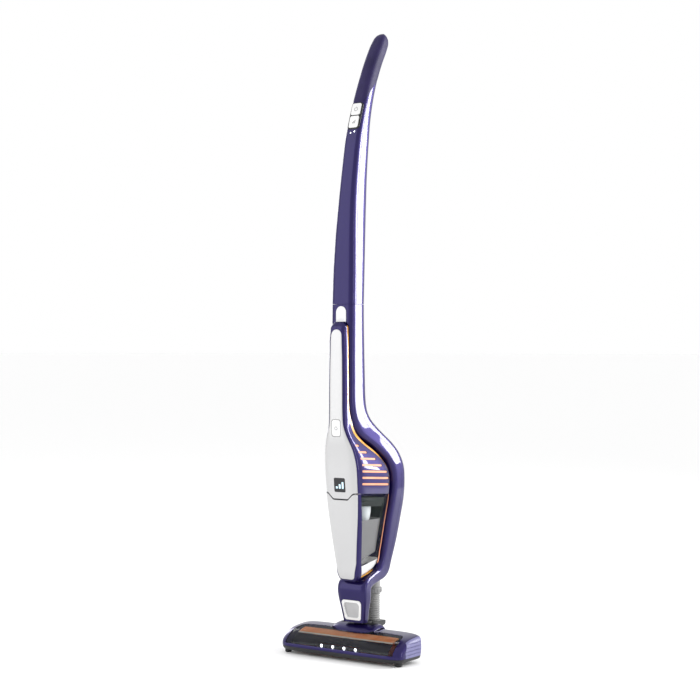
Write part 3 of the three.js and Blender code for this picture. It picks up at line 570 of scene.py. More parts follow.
def piece(obj, name, material, body, replaced=(), edge=0.35):
    """Names a piece, gives it its material and edges, sets what it rides on, and hides the CAD parts that
    it stands for.
    """
    obj.name = name
    obj.data.name = name
    obj.data.materials.clear()
    obj.data.materials.append(material)
    smooth(obj)
    if edge:
        rounding(obj, edge)
    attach(obj, body)
    if replaced:
        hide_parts(*replaced)
    return obj


# ---------------- floor nozzle

NOZZLE_HALF = 133
NOZZLE_MIDDLE = (-36, 20)
NOZZLE_POWER = 8
NOZZLE_END_SCALE = 0.5
NOZZLE_SECTION = [
    (-74, 4),
    (-79, 8),
    (-81.5, 15),
    (-79.5, 24),
    (-70, 34),
    (-55, 43),
    (-38, 47.5),
    (-15, 50),
    (0, 50.5),
    (4, 44),
    (4, 20),
    (0, 8),
    (-5, 4),
]
HUMP_SECTION = [(-40, 40), (-40, 46.5), (-31, 54), (-17, 58.5), (-3, 59.5), (3, 55), (4, 44), (4, 40)]
HUMP_HALF = 47
HUMP_FOOT = 44
HUMP_POWER = 6
HUMP_END_SCALE = 0.55
SHELL_LOW = 13.5
BASE_HIGH = 13.2
NECK_SLOT = (-36.5, 36.5)
ABOVE = 70


def inset_outline(outline, distance):
    """Each corner of a clockwise outline moved inwards from both its edges."""
    points = np.array(outline, float)
    edges = np.roll(points, -1, axis=0) - points
    edges /= norm(edges, axis=1)[:, None]
    after = np.column_stack([edges[:, 1], -edges[:, 0]])
    before = np.roll(after, 1, axis=0)
    bend = 1 + (before * after).sum(1)
    return points + distance * (before + after) / bend[:, None]


def nozzle_body(inset=0.0):
    outline = softened(inset_outline(NOZZLE_SECTION, inset))
    half = NOZZLE_HALF - inset
    side = np.concatenate([np.linspace(0, 0.8, 9)[:-1], 1 - 0.2 * np.linspace(1, 0, 22) ** 2])
    power = NOZZLE_POWER
    stations = [(half * u, max(NOZZLE_END_SCALE, (1 - u**power) ** (1 / power))) for u in side]
    stations = [(-x, s) for x, s in reversed(stations[1:])] + stations
    centre = np.array(NOZZLE_MIDDLE)
    rings = []
    for x, scale in stations:
        flat = centre + (outline - centre) * scale
        rings.append(np.column_stack([np.full(len(flat), x), flat]))
    return skin("nozzle", rings)


def nozzle_hump(inset=0.0):
    outline = softened(inset_outline(HUMP_SECTION, inset))
    rings = []
    for x in np.linspace(-HUMP_HALF, HUMP_HALF, 41):
        rest = 1 - (abs(x) / (HUMP_HALF + 0.5)) ** HUMP_POWER
        scale = max(HUMP_END_SCALE, rest ** (1 / HUMP_POWER))
        flat = np.column_stack([outline[:, 0], HUMP_FOOT + (outline[:, 1] - HUMP_FOOT) * scale])
        rings.append(np.column_stack([np.full(len(flat), x), flat]))
    return skin("hump", rings)


def window_region(margin=0.0):
    grown = [(118 + margin, -90), (118 + margin, -60), (110 + margin, -30 + margin)]
    grown += [(56, -27 + margin), (28, -40 + margin)]
    outline = rounded(mirrored(grown), 7)
    return prism("window_region", outline, 19.5 - margin, ABOVE, "Z")


def cap_region(sign, margin=0.0):
    front, low = -58 - margin, SHELL_LOW - margin
    outline = [(front, low), (front, 24), (front + 22, ABOVE), (40, ABOVE), (40, low)]
    return prism("cap_region", outline, *span(sign, 127.3 - margin, 150), "X")


def make_nozzle_shell():
    shell_wall, barrel = 2.2, 20.8
    shell = join(nozzle_body(), nozzle_hump())
    cut(shell, join(nozzle_body(shell_wall), nozzle_hump(shell_wall)))
    clip(shell, block((-140, 140), (-90, 30), (SHELL_LOW, ABOVE)))
    cut(shell, window_region(GAP), drum(barrel, *NECK_SLOT, HINGE, "X", 96))
    cut(shell, block(NECK_SLOT, (-18, 10), (HINGE[1], ABOVE)))
    cut(shell, block(NECK_SLOT, (-2, 10), (10, ABOVE)), block((-43.5, 43.5), (-1, 10), (10, 47.4)))
    for _, sign in SIDES:
        wheel_arch = drum(17.5, *span(sign, 44.2, 64.6), WHEEL[:2], "X")
        cut(shell, wheel_arch, cap_region(sign, GAP))
        cut(shell, block(span(sign, 59.5, 64.6), (-14, 20), (10, 22)))
    piece(shell, "nozzle_top_shell", PURPLE, "nozzle", ["nozzle_cover"], 0.6)


def make_nozzle_window():
    glass = cut(nozzle_body(), nozzle_body(2))
    clip(glass, window_region())
    piece(glass, "nozzle_glass", WINDOW_GLASS, "nozzle", ["nozzle_window"], 0.4)
    depth = (-90, -59)
    skirt = cut(nozzle_body(3.4), nozzle_body(4.6))
    clip(skirt, block((-106, 106), depth, (19.8, 36.2)))
    cut(skirt, block((-46.6, 46.6), depth, (10, 26)))
    piece(skirt, "window_skirt", SMOKE, "nozzle", (), 0.2)
    hood = cut(nozzle_body(3.2), nozzle_body(5.2))
    clip(hood, block((-104, 104), (-53.5, -36), (30, 50)))
    for x in range(-102, 104, 4):
        lean = [(x, -54), (x + 1.2, -54), (x + 6.2, -35), (x + 5, -35)]
        furrow = prism("furrow", lean, 30, 60, "Z")
        cut(hood, clip(furrow, cut(nozzle_body(1), nozzle_body(3.8))))
    piece(hood, "brush_hood", HOOD, "nozzle", (), 0)


def make_nozzle_caps():
    for side, sign in SIDES:
        cap = clip(nozzle_body(), cap_region(sign))
        for k in range(5):
            z = 17.5 + 6.2 * k
            groove = [(-90, z), (40, z + 1.5), (40, z + 3.3), (-90, z + 1.8)]
            cut(cap, prism("groove", rounded(groove, 0.6), *span(sign, 131.6, 140), "X"))
        name = f"side_panel_{side}"
        piece(cap, f"ribbed_cap_{side}", LAVENDER, "nozzle", [name], 0.5)


def make_nozzle_base():
    """The black chassis, with its rooms, hinge uprights, wheel arms and bearing blocks."""
    base = clip(nozzle_body(), block((-140, 140), (-90, 30), (0, BASE_HIGH)))
    cut(base, drum(20.5, -108, 106, BRUSH, "X", 72), block((-108, 106), (-62, -30), (0, 30)))
    cut(base, block((-105.5, 105.5), (-29.3, -26.7), (0, 30)))
    rooms = [((-60, 60), (-22, -12)), ((-124, -62), (-22, 1))]
    rooms += [((64, 124), (-22, 1)), ((108.5, 114.6), (-58, 0))]
    for across, depth in rooms:
        cut(base, block(across, depth, (6.5, 30)))
    for x in range(-90, 91, 30):
        across = (x - 11, x + 11)
        cut(base, block(across, (-77, -68), (0, 5.2)), block(across, (-24, -8), (0, 5)))
    join(base, block((-60, 60), (-25.2, -23.4), (6, 34)))
    cut(base, block((-15, 15), (-27, -20), (10, 30)))
    upright = [(-10, 6), (8, 6), (8, 37.9), (-10, 37.9)]
    arm = rounded([(-12, 6), (12, 6), (17, 11), (17, 19), (6, 21), (-12, 12)], 2)
    socket = 6.3
    for _, sign in SIDES:
        join(base, prism("upright", upright, *span(sign, 38, 43), "X"))
        join(base, prism("arm", arm, *span(sign, 60, 64), "X"))
        cut(base, drum(socket, *span(sign, 37, 44), HINGE, "X"))
        cut(base, drum(16.8, *span(sign, 44.2, 59.6), WHEEL[:2], "X"))
        join(base, drum(3, *span(sign, 45.6, 61), WHEEL[:2], "X", 32))
        cut(base, drum(socket, -1, 8.3, (sign * 122, -64)))
    for near, far in ((-113.8, -108.2), (114.9, 120.5)):
        join(base, block((near, far), (BRUSH[0] - 8, BRUSH[0] + 8), (6, BRUSH[1])))
        cut(base, drum(socket, near - 1, far + 1, BRUSH, "X", 32))
    for x in (67, 100):
        join(base, block((x, x + 4), (-21, -3), (6, 20)))
        cut(base, drum(10.8, x - 1, x + 5, (-12, 27), "X"))
    piece(base, "nozzle_chassis", BLACK, "nozzle", ["nozzle_base"], 0.4)


def make_lamps():
    """Four lamp lenses that look forwards, and the dark board that carries them."""
    profile = [(0, 0), (2.4, 0), (2.2, 0.7), (1.5, 1.2), (0, 1.4)]
    forwards = Matrix.Rotation(math.radians(90), 4, "X")
    lamps = []
    for x in (-37.5, -12.5, 12.5, 37.5):
        lens = turned("lens", profile, (0, 0, 0), 24)
        lens.data.transform(Matrix.Translation(Vector((x, -75.65, 22.0)) * MM) @ forwards)
        lamps.append(lens)
    lenses = merged("lamp_lenses", lamps)
    piece(lenses, "lamp_lenses", GLOW, "nozzle", (), 0)
    bar = block((-46, 46), (-75.6, -73.4), (13.5, 25))
    piece(bar, "lamp_board", BLACK, "nozzle", ["led_bar"], 0.4)


TUFTS = 420
TUFT_TURNS = 1.25
TUFT_ROOT = 9.8
TUFT_TIP = 15.7


def tuft_points(x, radius, angle, size):
    """The four corners of a tuft, at one radius of the roll."""
    corners = []
    for side in range(4):
        turn = math.pi / 4 + side * math.pi / 2
        across, forward = size * math.cos(turn) * 1.6, size * math.sin(turn) * 1.6
        y = BRUSH[0] + radius * math.cos(angle) - forward * math.sin(angle)
        z = BRUSH[1] + radius * math.sin(angle) + forward * math.cos(angle)
        corners.append((x + across, y, z))
    return corners


def make_brush():
    """The roll with its four winding rows of tufts."""
    rng = random.Random(7)
    profile = [(0, -106), (9.5, -106), (10.6, -104.5), (10.6, 102.5), (9.5, 104), (3, 104)]
    profile += [(3, 109.3), (8.5, 109.3), (8.5, 113.7), (3, 113.7), (3, 120), (0, 120)]
    core = turned("core", profile, (0, *BRUSH), 48, "X")
    join(core, drum(3, -113.5, -105, BRUSH, "X", 24))
    piece(core, "brush_core", ROLL, "roll", ["brush_roll"], 0.3)
    for row_name, phases in (("a", (0.0, 0.5)), ("b", (0.25, 0.75))):
        points, faces = [], []
        for phase in phases:
            for k in range(TUFTS):
                share = k / (TUFTS - 1)
                along = -101 + 201 * share
                angle = 2 * math.pi * (phase + TUFT_TURNS * share) + rng.uniform(-0.16, 0.16)
                tip = TUFT_TIP + rng.uniform(-0.7, 0.25)
                lean = rng.uniform(-0.7, 0.7)
                width = rng.uniform(0.35, 0.55)
                ring = [len(points) + i for i in range(8)]
                points += tuft_points(along, TUFT_ROOT, angle, width)
                points += tuft_points(along + lean, tip, angle, width * 0.55)
                faces += [ring[3::-1], ring[4:]]
                for i in range(4):
                    following = (i + 1) % 4
                    faces.append((ring[i], ring[following], ring[4 + following], ring[4 + i]))
        pile = mesh_object("pile", points, faces)
        name = f"bristle_row_{row_name}"
        piece(pile, f"bristle_tufts_{row_name}", BRISTLE, "roll", [name], 0)


def make_wheels():
    y, z, radius = WHEEL
    groove_profile = ((0, 0), (0.3, 0.5), (0.8, 0.5), (1.1, 0))
    for side, sign in SIDES:
        near, far = span(sign, 46, 58)
        profile = [(3.3, near), (radius - 2, near), (radius - 0.6, near + 0.7), (radius, near + 2)]
        for k in range(4):
            groove = near + 3 + k * 2
            profile += [(radius - depth, groove + across) for across, depth in groove_profile]
        profile += [(radius, far - 2), (radius - 0.6, far - 0.7), (radius - 2, far)]
        profile += [(10, far), (9.4, far - 1.2), (5.6, far - 1.2), (5, far), (3.3, far)]
        wheel = turned("wheel", profile, (0, y, z), 72, "X")
        name = f"rear_wheel_{side}"
        piece(wheel, f"tyre_{side}", RUBBER, f"wheel_{side}", [name], 0)


# ---------------- hose and cuffs


HOSE_BORE = 11
HOSE_RIBS = 12
RIB_PROFILE = (
    (0.0, 12.6),
    (0.12, 12.7),
    (0.28, 13.9),
    (0.42, 14.45),
    (0.58, 14.45),
    (0.72, 13.9),
    (0.88, 12.7),
)


def make_hose():
    low, high = 58.5, 108.0
    pitch = (high - low) / HOSE_RIBS
    profile = [(HOSE_BORE, low)]
    for k in range(HOSE_RIBS):
        profile += [(radius, low + pitch * (k + share)) for share, radius in RIB_PROFILE]
    profile += [(12.6, high), (HOSE_BORE, high)]
    inner = [(HOSE_BORE, high - (high - low) * k / 24) for k in range(1, 24)]
    hose = turned("hose_tube", profile + inner, (0, HOSE_Y, 0), 64)
    hose.data.materials.append(HOSE_GREY)
    smooth(hose, 60)
    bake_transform(hose)
    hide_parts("hose")
    make_upper_cuff()


def make_upper_cuff():
    profile = [(HOSE_BORE, 108.3), (16.4, 108.3), (17.4, 109.2), (17.8, 111), (17.8, 116.6)]
    profile += [(17.2, 117.6), (14.6, 118.6), (14.5, 121), (14.5, 144.4), (14, 145), (HOSE_BORE, 145)]
    cuff = turned("cuff", profile, (0, HOSE_Y, 0))
    grips, reach = 16, 18.1
    for k in range(grips):
        angle = 2 * math.pi * k / grips
        centre = (reach * math.cos(angle), HOSE_Y + reach * math.sin(angle))
        cut(cuff, drum(1.1, 110.4, 115.8, centre, "Z", 16))
    piece(cuff, "upper_cuff_ring", GREY, "stick", ["hose_upper_cuff"], 0.25)


# ---------------- stick

CRADLE_WALL = 3
CRADLE_SPLIT = 0.6
CRADLE_COVER_FROM = 11
RECESS_GAP = 0.8
KEY_PROUD = -0.8
PEDAL_REAR = -29.0
PEDAL_OPENING_REAR = -24.5


def cradle_rear(grow):
    """Everything behind the cradle's seam; a positive grow widens it."""
    rows = dense(CRADLE[CRADLE_COVER_FROM:])
    front, rear = rows[:, 0:2], rows[:, 2:4]
    along = (rear - front) / norm(rear - front, axis=1)[:, None]
    seam = front + (rear - front) * CRADLE_SPLIT - along * grow
    outside = rear + along * 12
    lowered = np.array([along[0][1], -along[0][0]]) * grow
    seam[0] += lowered
    outside[0] += lowered
    raised = np.array([[0, 10]])
    outline = np.concatenate([seam, seam[-1:] + raised, outside[-1:] + raised, outside[::-1]])
    return prism("rear_region", outline, -60, 60, "X")


def release_region(margin):
    half = 10.7 + margin
    outline = [(half, 603 - margin)]
    outline += [(half * math.cos(a), 620 + half * math.sin(a)) for a in np.linspace(0, math.pi, 25)]
    outline.append((-half, 603 - margin))
    return prism("release_region", outline, -80, -60, "Y")


def pedal_region(margin, shrink=0.0, rear=PEDAL_REAR):
    half = np.array([15, 17.5, 21.5, 18]) + margin - shrink
    levels = (65.4 - margin + shrink, 68 + shrink, 97 - shrink, 101.6 + margin - shrink)
    outline = rounded(mirrored(list(zip(half, levels))), 9)
    return prism("pedal_region", outline, -60, rear, "Y")


def cradle_shell():
    recess = loft("recess", HANDHELD, -RECESS_GAP, -RECESS_GAP, -RECESS_GAP)
    lining = -RECESS_GAP - CRADLE_WALL
    recess_lining = loft("lining", HANDHELD, lining, lining, lining)
    hollow = cut(loft("hollow", CRADLE, CRADLE_WALL, CRADLE_WALL, -6), recess_lining)
    shell = cut(loft("cradle", CRADLE), recess, hollow)
    cut(shell, drum(14.8, 110, 150, (0, HOSE_Y)), drum(10.5, 140, 165, NECK_CORE))
    cut(shell, drum(12.3, 100, 136, (0, SWIVEL_Y)), pedal_region(GAP, rear=PEDAL_OPENING_REAR))
    cut(shell, release_region(GAP))
    return cut(shell, block((-7.3, 7.3), (-50, -40), (544.7, 567.3)))


def make_cradle():
    shell = cradle_shell()
    back = clip(copy_of(shell), cradle_rear(0))
    cut(shell, cradle_rear(GAP))
    piece(shell, "cradle_front", PURPLE, "stick", ["cradle_frame"], 0.5)
    piece(back, "cradle_back", PURPLE, "stick", ["cradle_back_cover"], 0.5)

    release = layer(CRADLE, KEY_PROUD, 4.2, release_region(0))
    piece(release, "release_key_cap", WHITE, "release_key", ["release_button"], 0.6)
    for k in range(4):
        low = 608 + k * 3.4
        line = prism("line", rectangle(5, low, low + 1.2, 0.5), -80, -60, "Y")
        rib = layer(CRADLE, -1.1, 0.2, line)
        piece(rib, f"release_rib_{k + 1}", WHITE, "release_key", (), 0.15)

    pedal = layer(CRADLE, KEY_PROUD, 4, pedal_region(0))
    cut(pedal, layer(CRADLE, -3, 1.6, pedal_region(0, 4.4)))
    piece(pedal, "pedal_plate", WHITE, "pedal", ["brush_pedal"], 0.9)
    pad = layer(CRADLE, 1.35, 2.1, pedal_region(0, 4.7))
    piece(pad, "pedal_pad", PALE_GREY, "pedal", (), 0.3)


# ---------------- handle

HANDLE_WALL = 2.4
HANDLE_SPLIT = 0.33
BEYOND = 1300
BUTTON_TILT = math.radians(16)
FACE = Matrix.Translation(Vector((0, -24.4, 976)) * MM) @ Matrix.Rotation(
    math.pi / 2 - BUTTON_TILT, 4, "X"
)


def face_plate(outline, low=-8, high=8):
    """An outline on the handle's control face, drawn out along the face's normal."""
    plate = prism("plate", outline, low, high, "Z")
    plate.data.transform(FACE)
    return plate


def upright(left, low, width, height):
    """A rectangle that stands on (left, low)."""
    right, high = left + width, low + height
    return [(left, low), (right, low), (right, high), (left, high)]


def above_grip_edge(drop=0.0):
    outline = [(-60, 954.3 - drop), (100, 1127.3 - drop), (100, BEYOND), (-60, BEYOND)]
    return prism("grip_region", outline, -40, 40, "X")


def handle_front_region(shift):
    rows = dense(HANDLE)
    seam = rows[:, 0:2] + (rows[:, 2:4] - rows[:, 0:2]) * HANDLE_SPLIT + np.array([shift, 0])
    outline = [(seam[0][0], 600), *map(tuple, seam), (-20, BEYOND), (-200, BEYOND), (-200, 600)]
    return prism("front_region", outline, -40, 40, "X")


def make_handle():
    shell = loft("handle", HANDLE)
    cut(shell, loft("hollow", HANDLE[:-1], HANDLE_WALL, -6, HANDLE_WALL))
    grip = clip(copy_of(shell), above_grip_edge())
    piece(grip, "grip_sleeve", GRIP, "stick", ["grip"], 0.5)
    cut(shell, above_grip_edge(GAP))
    rear = cut(copy_of(shell), handle_front_region(0))
    piece(rear, "handle_rear", PURPLE, "stick", ["handle_rear_shell"], 0.5)
    clip(shell, handle_front_region(-0.9))
    cut(shell, face_plate(rectangle(13.3, -26.3, 26.3, 7)))
    for letter, x in (("a", -3.6), ("b", 4.6)):
        dot = face_plate(circle(1.3, (x, -32 + 0.25 * x), 24), -6, 3)
        cut(shell, copy_of(dot))
        light = layer(HANDLE, 0.2, 1.6, dot)
        piece(light, f"light_dot_{letter}", DOT, "stick", (), 0)
    piece(shell, "handle_front", PURPLE, "stick", ["handle_front_shell"], 0.5)
    make_handle_buttons()


def make_handle_buttons():
    bezel = layer(HANDLE, -0.4, HANDLE_WALL, face_plate(rectangle(13, -26, 26, 6.8)))
    clip(bezel, handle_front_region(-GAP))
    keys = (("power", 1.6, 24.2, "power_key"), ("boost", -23.2, -0.6, "boost_key"))
    for word, low, high, body in keys:
        cut(bezel, face_plate(rectangle(10.1, low - GAP, high + GAP, 4)))
        key = layer(HANDLE, -1.2, 2.2, face_plate(rectangle(9.8, low, high, 3.8)))
        clip(key, handle_front_region(-GAP))
        middle = (low + high) / 2
        mark = power_mark(middle) if word == "power" else boost_mark(middle)
        cut(key, layer(HANDLE, -2, -0.9, copy_of(mark)))
        ink = layer(HANDLE, -1.1, -0.6, mark)
        piece(ink, f"{word}_mark", ICON, body, (), 0)
        piece(key, f"{word}_key_cap", WHITE, body, [f"{word}_button"], 0.5)
    piece(bezel, "key_bezel", BLACK, "stick", ["button_bezel"], 0.3)


def power_mark(middle):
    """An open ring with a stroke at its gap."""
    ring = []
    for radius, order in ((4.0, 1), (3.1, -1)):
        angles = np.linspace(math.radians(125), math.radians(415), 28)[::order]
        ring += [(radius * math.cos(a), middle + radius * math.sin(a)) for a in angles]
    return join(face_plate(ring), face_plate(upright(-0.5, middle + 0.8, 1.0, 3.8)))


def boost_mark(middle):
    """Three bars that step up."""
    bars = []
    for k in range(3):
        bars.append(face_plate(upright(-3 + 2.4 * k, middle - 3.2, 1.4, 2.4 + 2 * k)))
    return merged("bars", bars)


# ---------------- handheld unit

HOUSING_WALL = 3
PANEL_MARGIN = 5.3
PANEL_THICK = 1.6
PARTING = 0.25
KEY_MIDDLE = (0, 413)
VENT_FRONTS = (-67, -62, -59, -56, -56, -56, -56)
VENT_REARS = (-55, -35, -11, 6, 22, 28, 28)
VENT_TOP = 382
VENT_PITCH = 11.35
ACCENT_WIDTHS = (3, 3, 3, 4, 5.5, 6.5, 7, 6.5, 5, 4, 3.4, 3.2, 3, 3, 3)
ACCENT_AHEAD = (6, 5, 6, 5, 5, 7, 4, 2, 1, 0.5, 0, 0, 0, 0, 0)
ACCENT_FROM = 14
ACCENT_LOW = 312.0
ACCENT_HIGH = 596.0


def cup_region(rise):
    """Everything below the sloping parting line between housing and dust cup."""
    top = rounded(mirrored([(70, 90), (70, 297.5 + rise), *[(x, z + rise) for x, z in CUP_TOP]]), 2.2, 4)
    region = prism("cup_region", top, -120, 120, "Y")
    for vertex in region.data.vertices:
        vertex.co.z -= CUP_SLOPE * (vertex.co.y - CUP_SLOPE_FROM * MM)
    return region


def panel_edge(first, last, margin):
    rows = dense(HANDHELD)
    low, high = HANDHELD[first][1], HANDHELD[last][1]
    keep = rows[(rows[:, 1] >= low - 0.1) & (rows[:, 1] <= high + 0.1)]
    return [(row[4] - PANEL_MARGIN + margin, row[1]) for row in keep]


def upper_panel_region(margin):
    outline = [(33.8 + margin, 270), *panel_edge(6, 14, margin), (11.7 + margin, 574)]
    half, top = 11.4 + margin, 577.6
    angles = np.linspace(0.05, math.pi / 2 - 0.05, 12)
    outline += [(half * math.cos(a), top + half * math.sin(a)) for a in angles]
    return prism("upper_panel", mirrored(outline), -100, -61 + margin, "Y")


def lower_panel_region(margin):
    outline = [(10.5, 141 - margin), (14.4 + margin, 142.2), (16.6 + margin, 145.8)]
    outline += [*panel_edge(2, 5, margin), (34.8 + margin, 320)]
    return prism("lower_panel", mirrored(outline), -100, -44 + margin, "Y")


def key_region(margin):
    return prism("key_region", rectangle(9 + margin, 399 - margin, 428 + margin, 5), -100, -74, "Y")


def status_region(margin):
    return prism("status_region", rectangle(12 + margin, 299 - margin, 324 + margin, 3), -100, -66, "Y")


def vent_slot(row, height, shorten):
    front = VENT_FRONTS[row] + shorten
    rear = VENT_REARS[row] - shorten
    half = height / 2
    outline = []
    for centre, start in ((rear - half, -90), (front + half, 90)):
        z = VENT_TOP - VENT_PITCH * row - CUP_SLOPE * (centre + 56)
        for k in range(9):
            angle = math.radians(start + 22.5 * k)
            outline.append((centre + half * math.cos(angle), z + half * math.sin(angle)))
    return prism("slot", outline, -60, 60, "X")


def accent_region(margin):
    """The strip of the body's side that the trim covers, just ahead of the cradle's edge."""
    rows = zip(CRADLE[ACCENT_FROM:], ACCENT_WIDTHS, ACCENT_AHEAD)
    points = [(row[0] - ahead, row[1] - ahead * 0.3, width) for row, width, ahead in rows]
    smooth_rows = dense([(y, z, y, z, width, 0) for y, z, width in points])
    inner = [(r[0] - 0.8 + margin, r[1] - 0.6 + margin) for r in smooth_rows]
    outer = [(r[0] - 0.8 - r[4] - margin, r[1] - 0.6 - r[4] * 0.4 - margin) for r in smooth_rows]
    band = prism("band", inner + outer[::-1], -60, 60, "X")
    return clip(band, block((-60, 60), (-120, 60), (ACCENT_LOW - margin, ACCENT_HIGH + margin)))


def side_region(sign, near):
    """Everything on one side of the body, from near outwards."""
    return block(span(sign, near, 60), (-120, 120), (100, 700))


def make_housing():
    housing = loft("housing", HANDHELD)
    hollow = loft("hollow", HANDHELD, HOUSING_WALL, HOUSING_WALL, HOUSING_WALL)
    cut(housing, hollow, cup_region(PARTING))
    cut(housing, layer(HANDHELD, -1, PANEL_THICK + GAP, upper_panel_region(GAP)))
    cut(housing, key_region(GAP), block((-8, 8), (-50, -40), (543.5, 568.5)))
    cut(housing, layer(HANDHELD, -1, 1.3, accent_region(GAP)))
    for row in range(len(VENT_FRONTS)):
        cut(housing, vent_slot(row, 4.4, 0))
    for side, sign in SIDES:
        half = clip(copy_of(housing), side_region(sign, GAP / 2))
        name = f"housing_{side}"
        piece(half, f"motor_housing_{side}", PURPLE, "handheld", [name], 0.45)
    remove(housing)
    make_vents()
    make_accents()
    make_front_panel()


def make_vents():
    back = [(-64, 386), (-50, 386), (26, 336), (30, 304), (-60, 311)]
    for side, sign in SIDES:
        across = span(sign, 24, 60)
        insert = layer(HANDHELD, 3.3, 4.8, prism("back", back, *across, "X"))
        slats = vent_slot(0, 3.5, 0.5)
        for row in range(1, len(VENT_FRONTS)):
            join(slats, vent_slot(row, 3.5, 0.5))
        join(insert, layer(HANDHELD, 0.9, 3.6, slats, block(across, (-70, 60), (290, 400))))
        name = f"vent_insert_{side}"
        piece(insert, f"vent_slats_{side}", PEACH, "handheld", [name], 0.4)


def make_accents():
    for side, sign in SIDES:
        trim = layer(HANDHELD, 0, 1, accent_region(0), side_region(sign, 12))
        name = f"accent_trim_{side}"
        piece(trim, f"accent_line_{side}", AMBER, "handheld", [name], 0.3)


def make_front_panel():
    panel = layer(HANDHELD, 0, PANEL_THICK, upper_panel_region(0))
    seam = layer(HANDHELD, 0.5, PANEL_THICK, upper_panel_region(-0.2), cup_region(1.3))
    cut(seam, cup_region(PARTING))
    piece(seam, "panel_seam_upper", BLACK, "handheld", (), 0)
    cut(panel, cup_region(1.3), key_region(1.1), status_region(GAP))
    piece(panel, "silver_face_upper", SILVER, "handheld", ["front_panel"], 0.5)
    collar = layer(HANDHELD, -0.1, PANEL_THICK, key_region(1.0))
    cut(collar, key_region(0.25))
    piece(collar, "handheld_key_collar", GREY, "handheld", (), 0.2)

    key = layer(HANDHELD, -0.1, 5, key_region(0))
    ring = prism("ring", circle(3.2, KEY_MIDDLE, 40), -100, -74, "Y")
    cut(ring, prism("hole", circle(2.3, KEY_MIDDLE, 40), -101, -73, "Y"))
    cut(key, layer(HANDHELD, -1, 0.3, copy_of(ring)))
    ink = layer(HANDHELD, 0.1, 0.7, ring)
    piece(key, "handheld_key_cap", WHITE, "handheld_key", ["handheld_button"], 0.8)
    piece(ink, "handheld_key_mark", ICON, "handheld_key", (), 0)

    window = layer(HANDHELD, -0.1, PANEL_THICK, status_region(0))
    bars = []
    for k in range(3):
        x = -6.6 + 6.6 * k
        bar = prism("bar", rectangle(2.1, 305, 309 + 4 * k, 0.9), -100, -66, "Y")
        for vertex in bar.data.vertices:
            vertex.co.x += x * MM
        cut(window, layer(HANDHELD, -1, 0.3, copy_of(bar)))
        bars.append(layer(HANDHELD, 0, 0.6, bar))
    piece(window, "charge_window", BLACK, "handheld", ["status_window"], 0.3)
    piece(merged("bars", bars), "charge_bars", GAUGE, "handheld", (), 0)


# ---------------- dust cup

CUP_WALL = 2.4
FRAME_WALL = 2.2
LINE_DEPTHS = (-0.15, 0.7)
CUP_SECTIONS = HANDHELD[:8]


def cup_body(inset):
    return loft("cup", CUP_SECTIONS, inset, inset, -inset)


def cup_front(shift):
    edge = [(-58 + (295 - z) * 20 / 158 + shift, z) for z in (90, 320)]
    return prism("cup_front", [(-120, 90), *edge, (-120, 320)], -60, 60, "X")


def make_cup():
    inner = FRAME_WALL + GAP
    outside = cut(cup_body(0), cup_front(GAP))
    join(outside, clip(cup_body(inner), cup_front(1)))
    cut(outside, cut(cup_body(CUP_WALL), cup_front(CUP_WALL)), cup_body(inner + CUP_WALL))
    cut(outside, drum(10.5, 140, 175, NECK_CORE))
    clip(outside, cup_region(-PARTING))
    piece(outside, "clear_cup", CUP_GLASS, "cup", ["dust_cup"], 0.3)

    rim = cut(cup_body(0), cup_body(FRAME_WALL))
    clip(rim, cup_front(0), cup_region(-PARTING))
    cut(rim, layer(HANDHELD, -1, PANEL_THICK - 0.4, lower_panel_region(GAP)))
    piece(rim, "cup_front_rim", PURPLE, "cup", ["cup_frame"], 0.45)
    panel = layer(HANDHELD, -0.3, PANEL_THICK - 0.7, lower_panel_region(0), cup_region(-1.4))
    piece(panel, "silver_face_lower", SILVER, "cup", ["cup_panel"], 0.5)
    seam = layer(HANDHELD, 0.3, PANEL_THICK - 0.7, lower_panel_region(-0.2), cup_region(-PARTING))
    cut(seam, cup_region(-1.4))
    piece(seam, "panel_seam_lower", BLACK, "cup", (), 0)
    make_cup_lines()
    make_cup_inside()


def make_cup_lines():
    """The trim running on down the rear edge of the clear wall and along its foot."""
    rows = dense(HANDHELD[1:8])
    upright = [(row[2] - 6.5, row[3]) for row in rows] + [(row[2] - 9.2, row[3]) for row in rows[::-1]]
    rear = layer(CUP_SECTIONS, *LINE_DEPTHS, prism("upright", upright, -60, 60, "X"))
    cut(rear, cup_front(3))
    clip(rear, cup_region(-PARTING), block((-60, 60), (-80, 60), (158, 330)))
    piece(rear, "cup_rear_line", PEACH, "cup", (), 0.2)
    foot_region = prism("foot", [(-60, 140.6), (14, 153.6), (14, 156), (-60, 143)], -60, 60, "X")
    foot = layer(CUP_SECTIONS, *LINE_DEPTHS, foot_region)
    cut(foot, cup_front(1))
    piece(foot, "cup_foot_line", AMBER, "cup", (), 0.2)


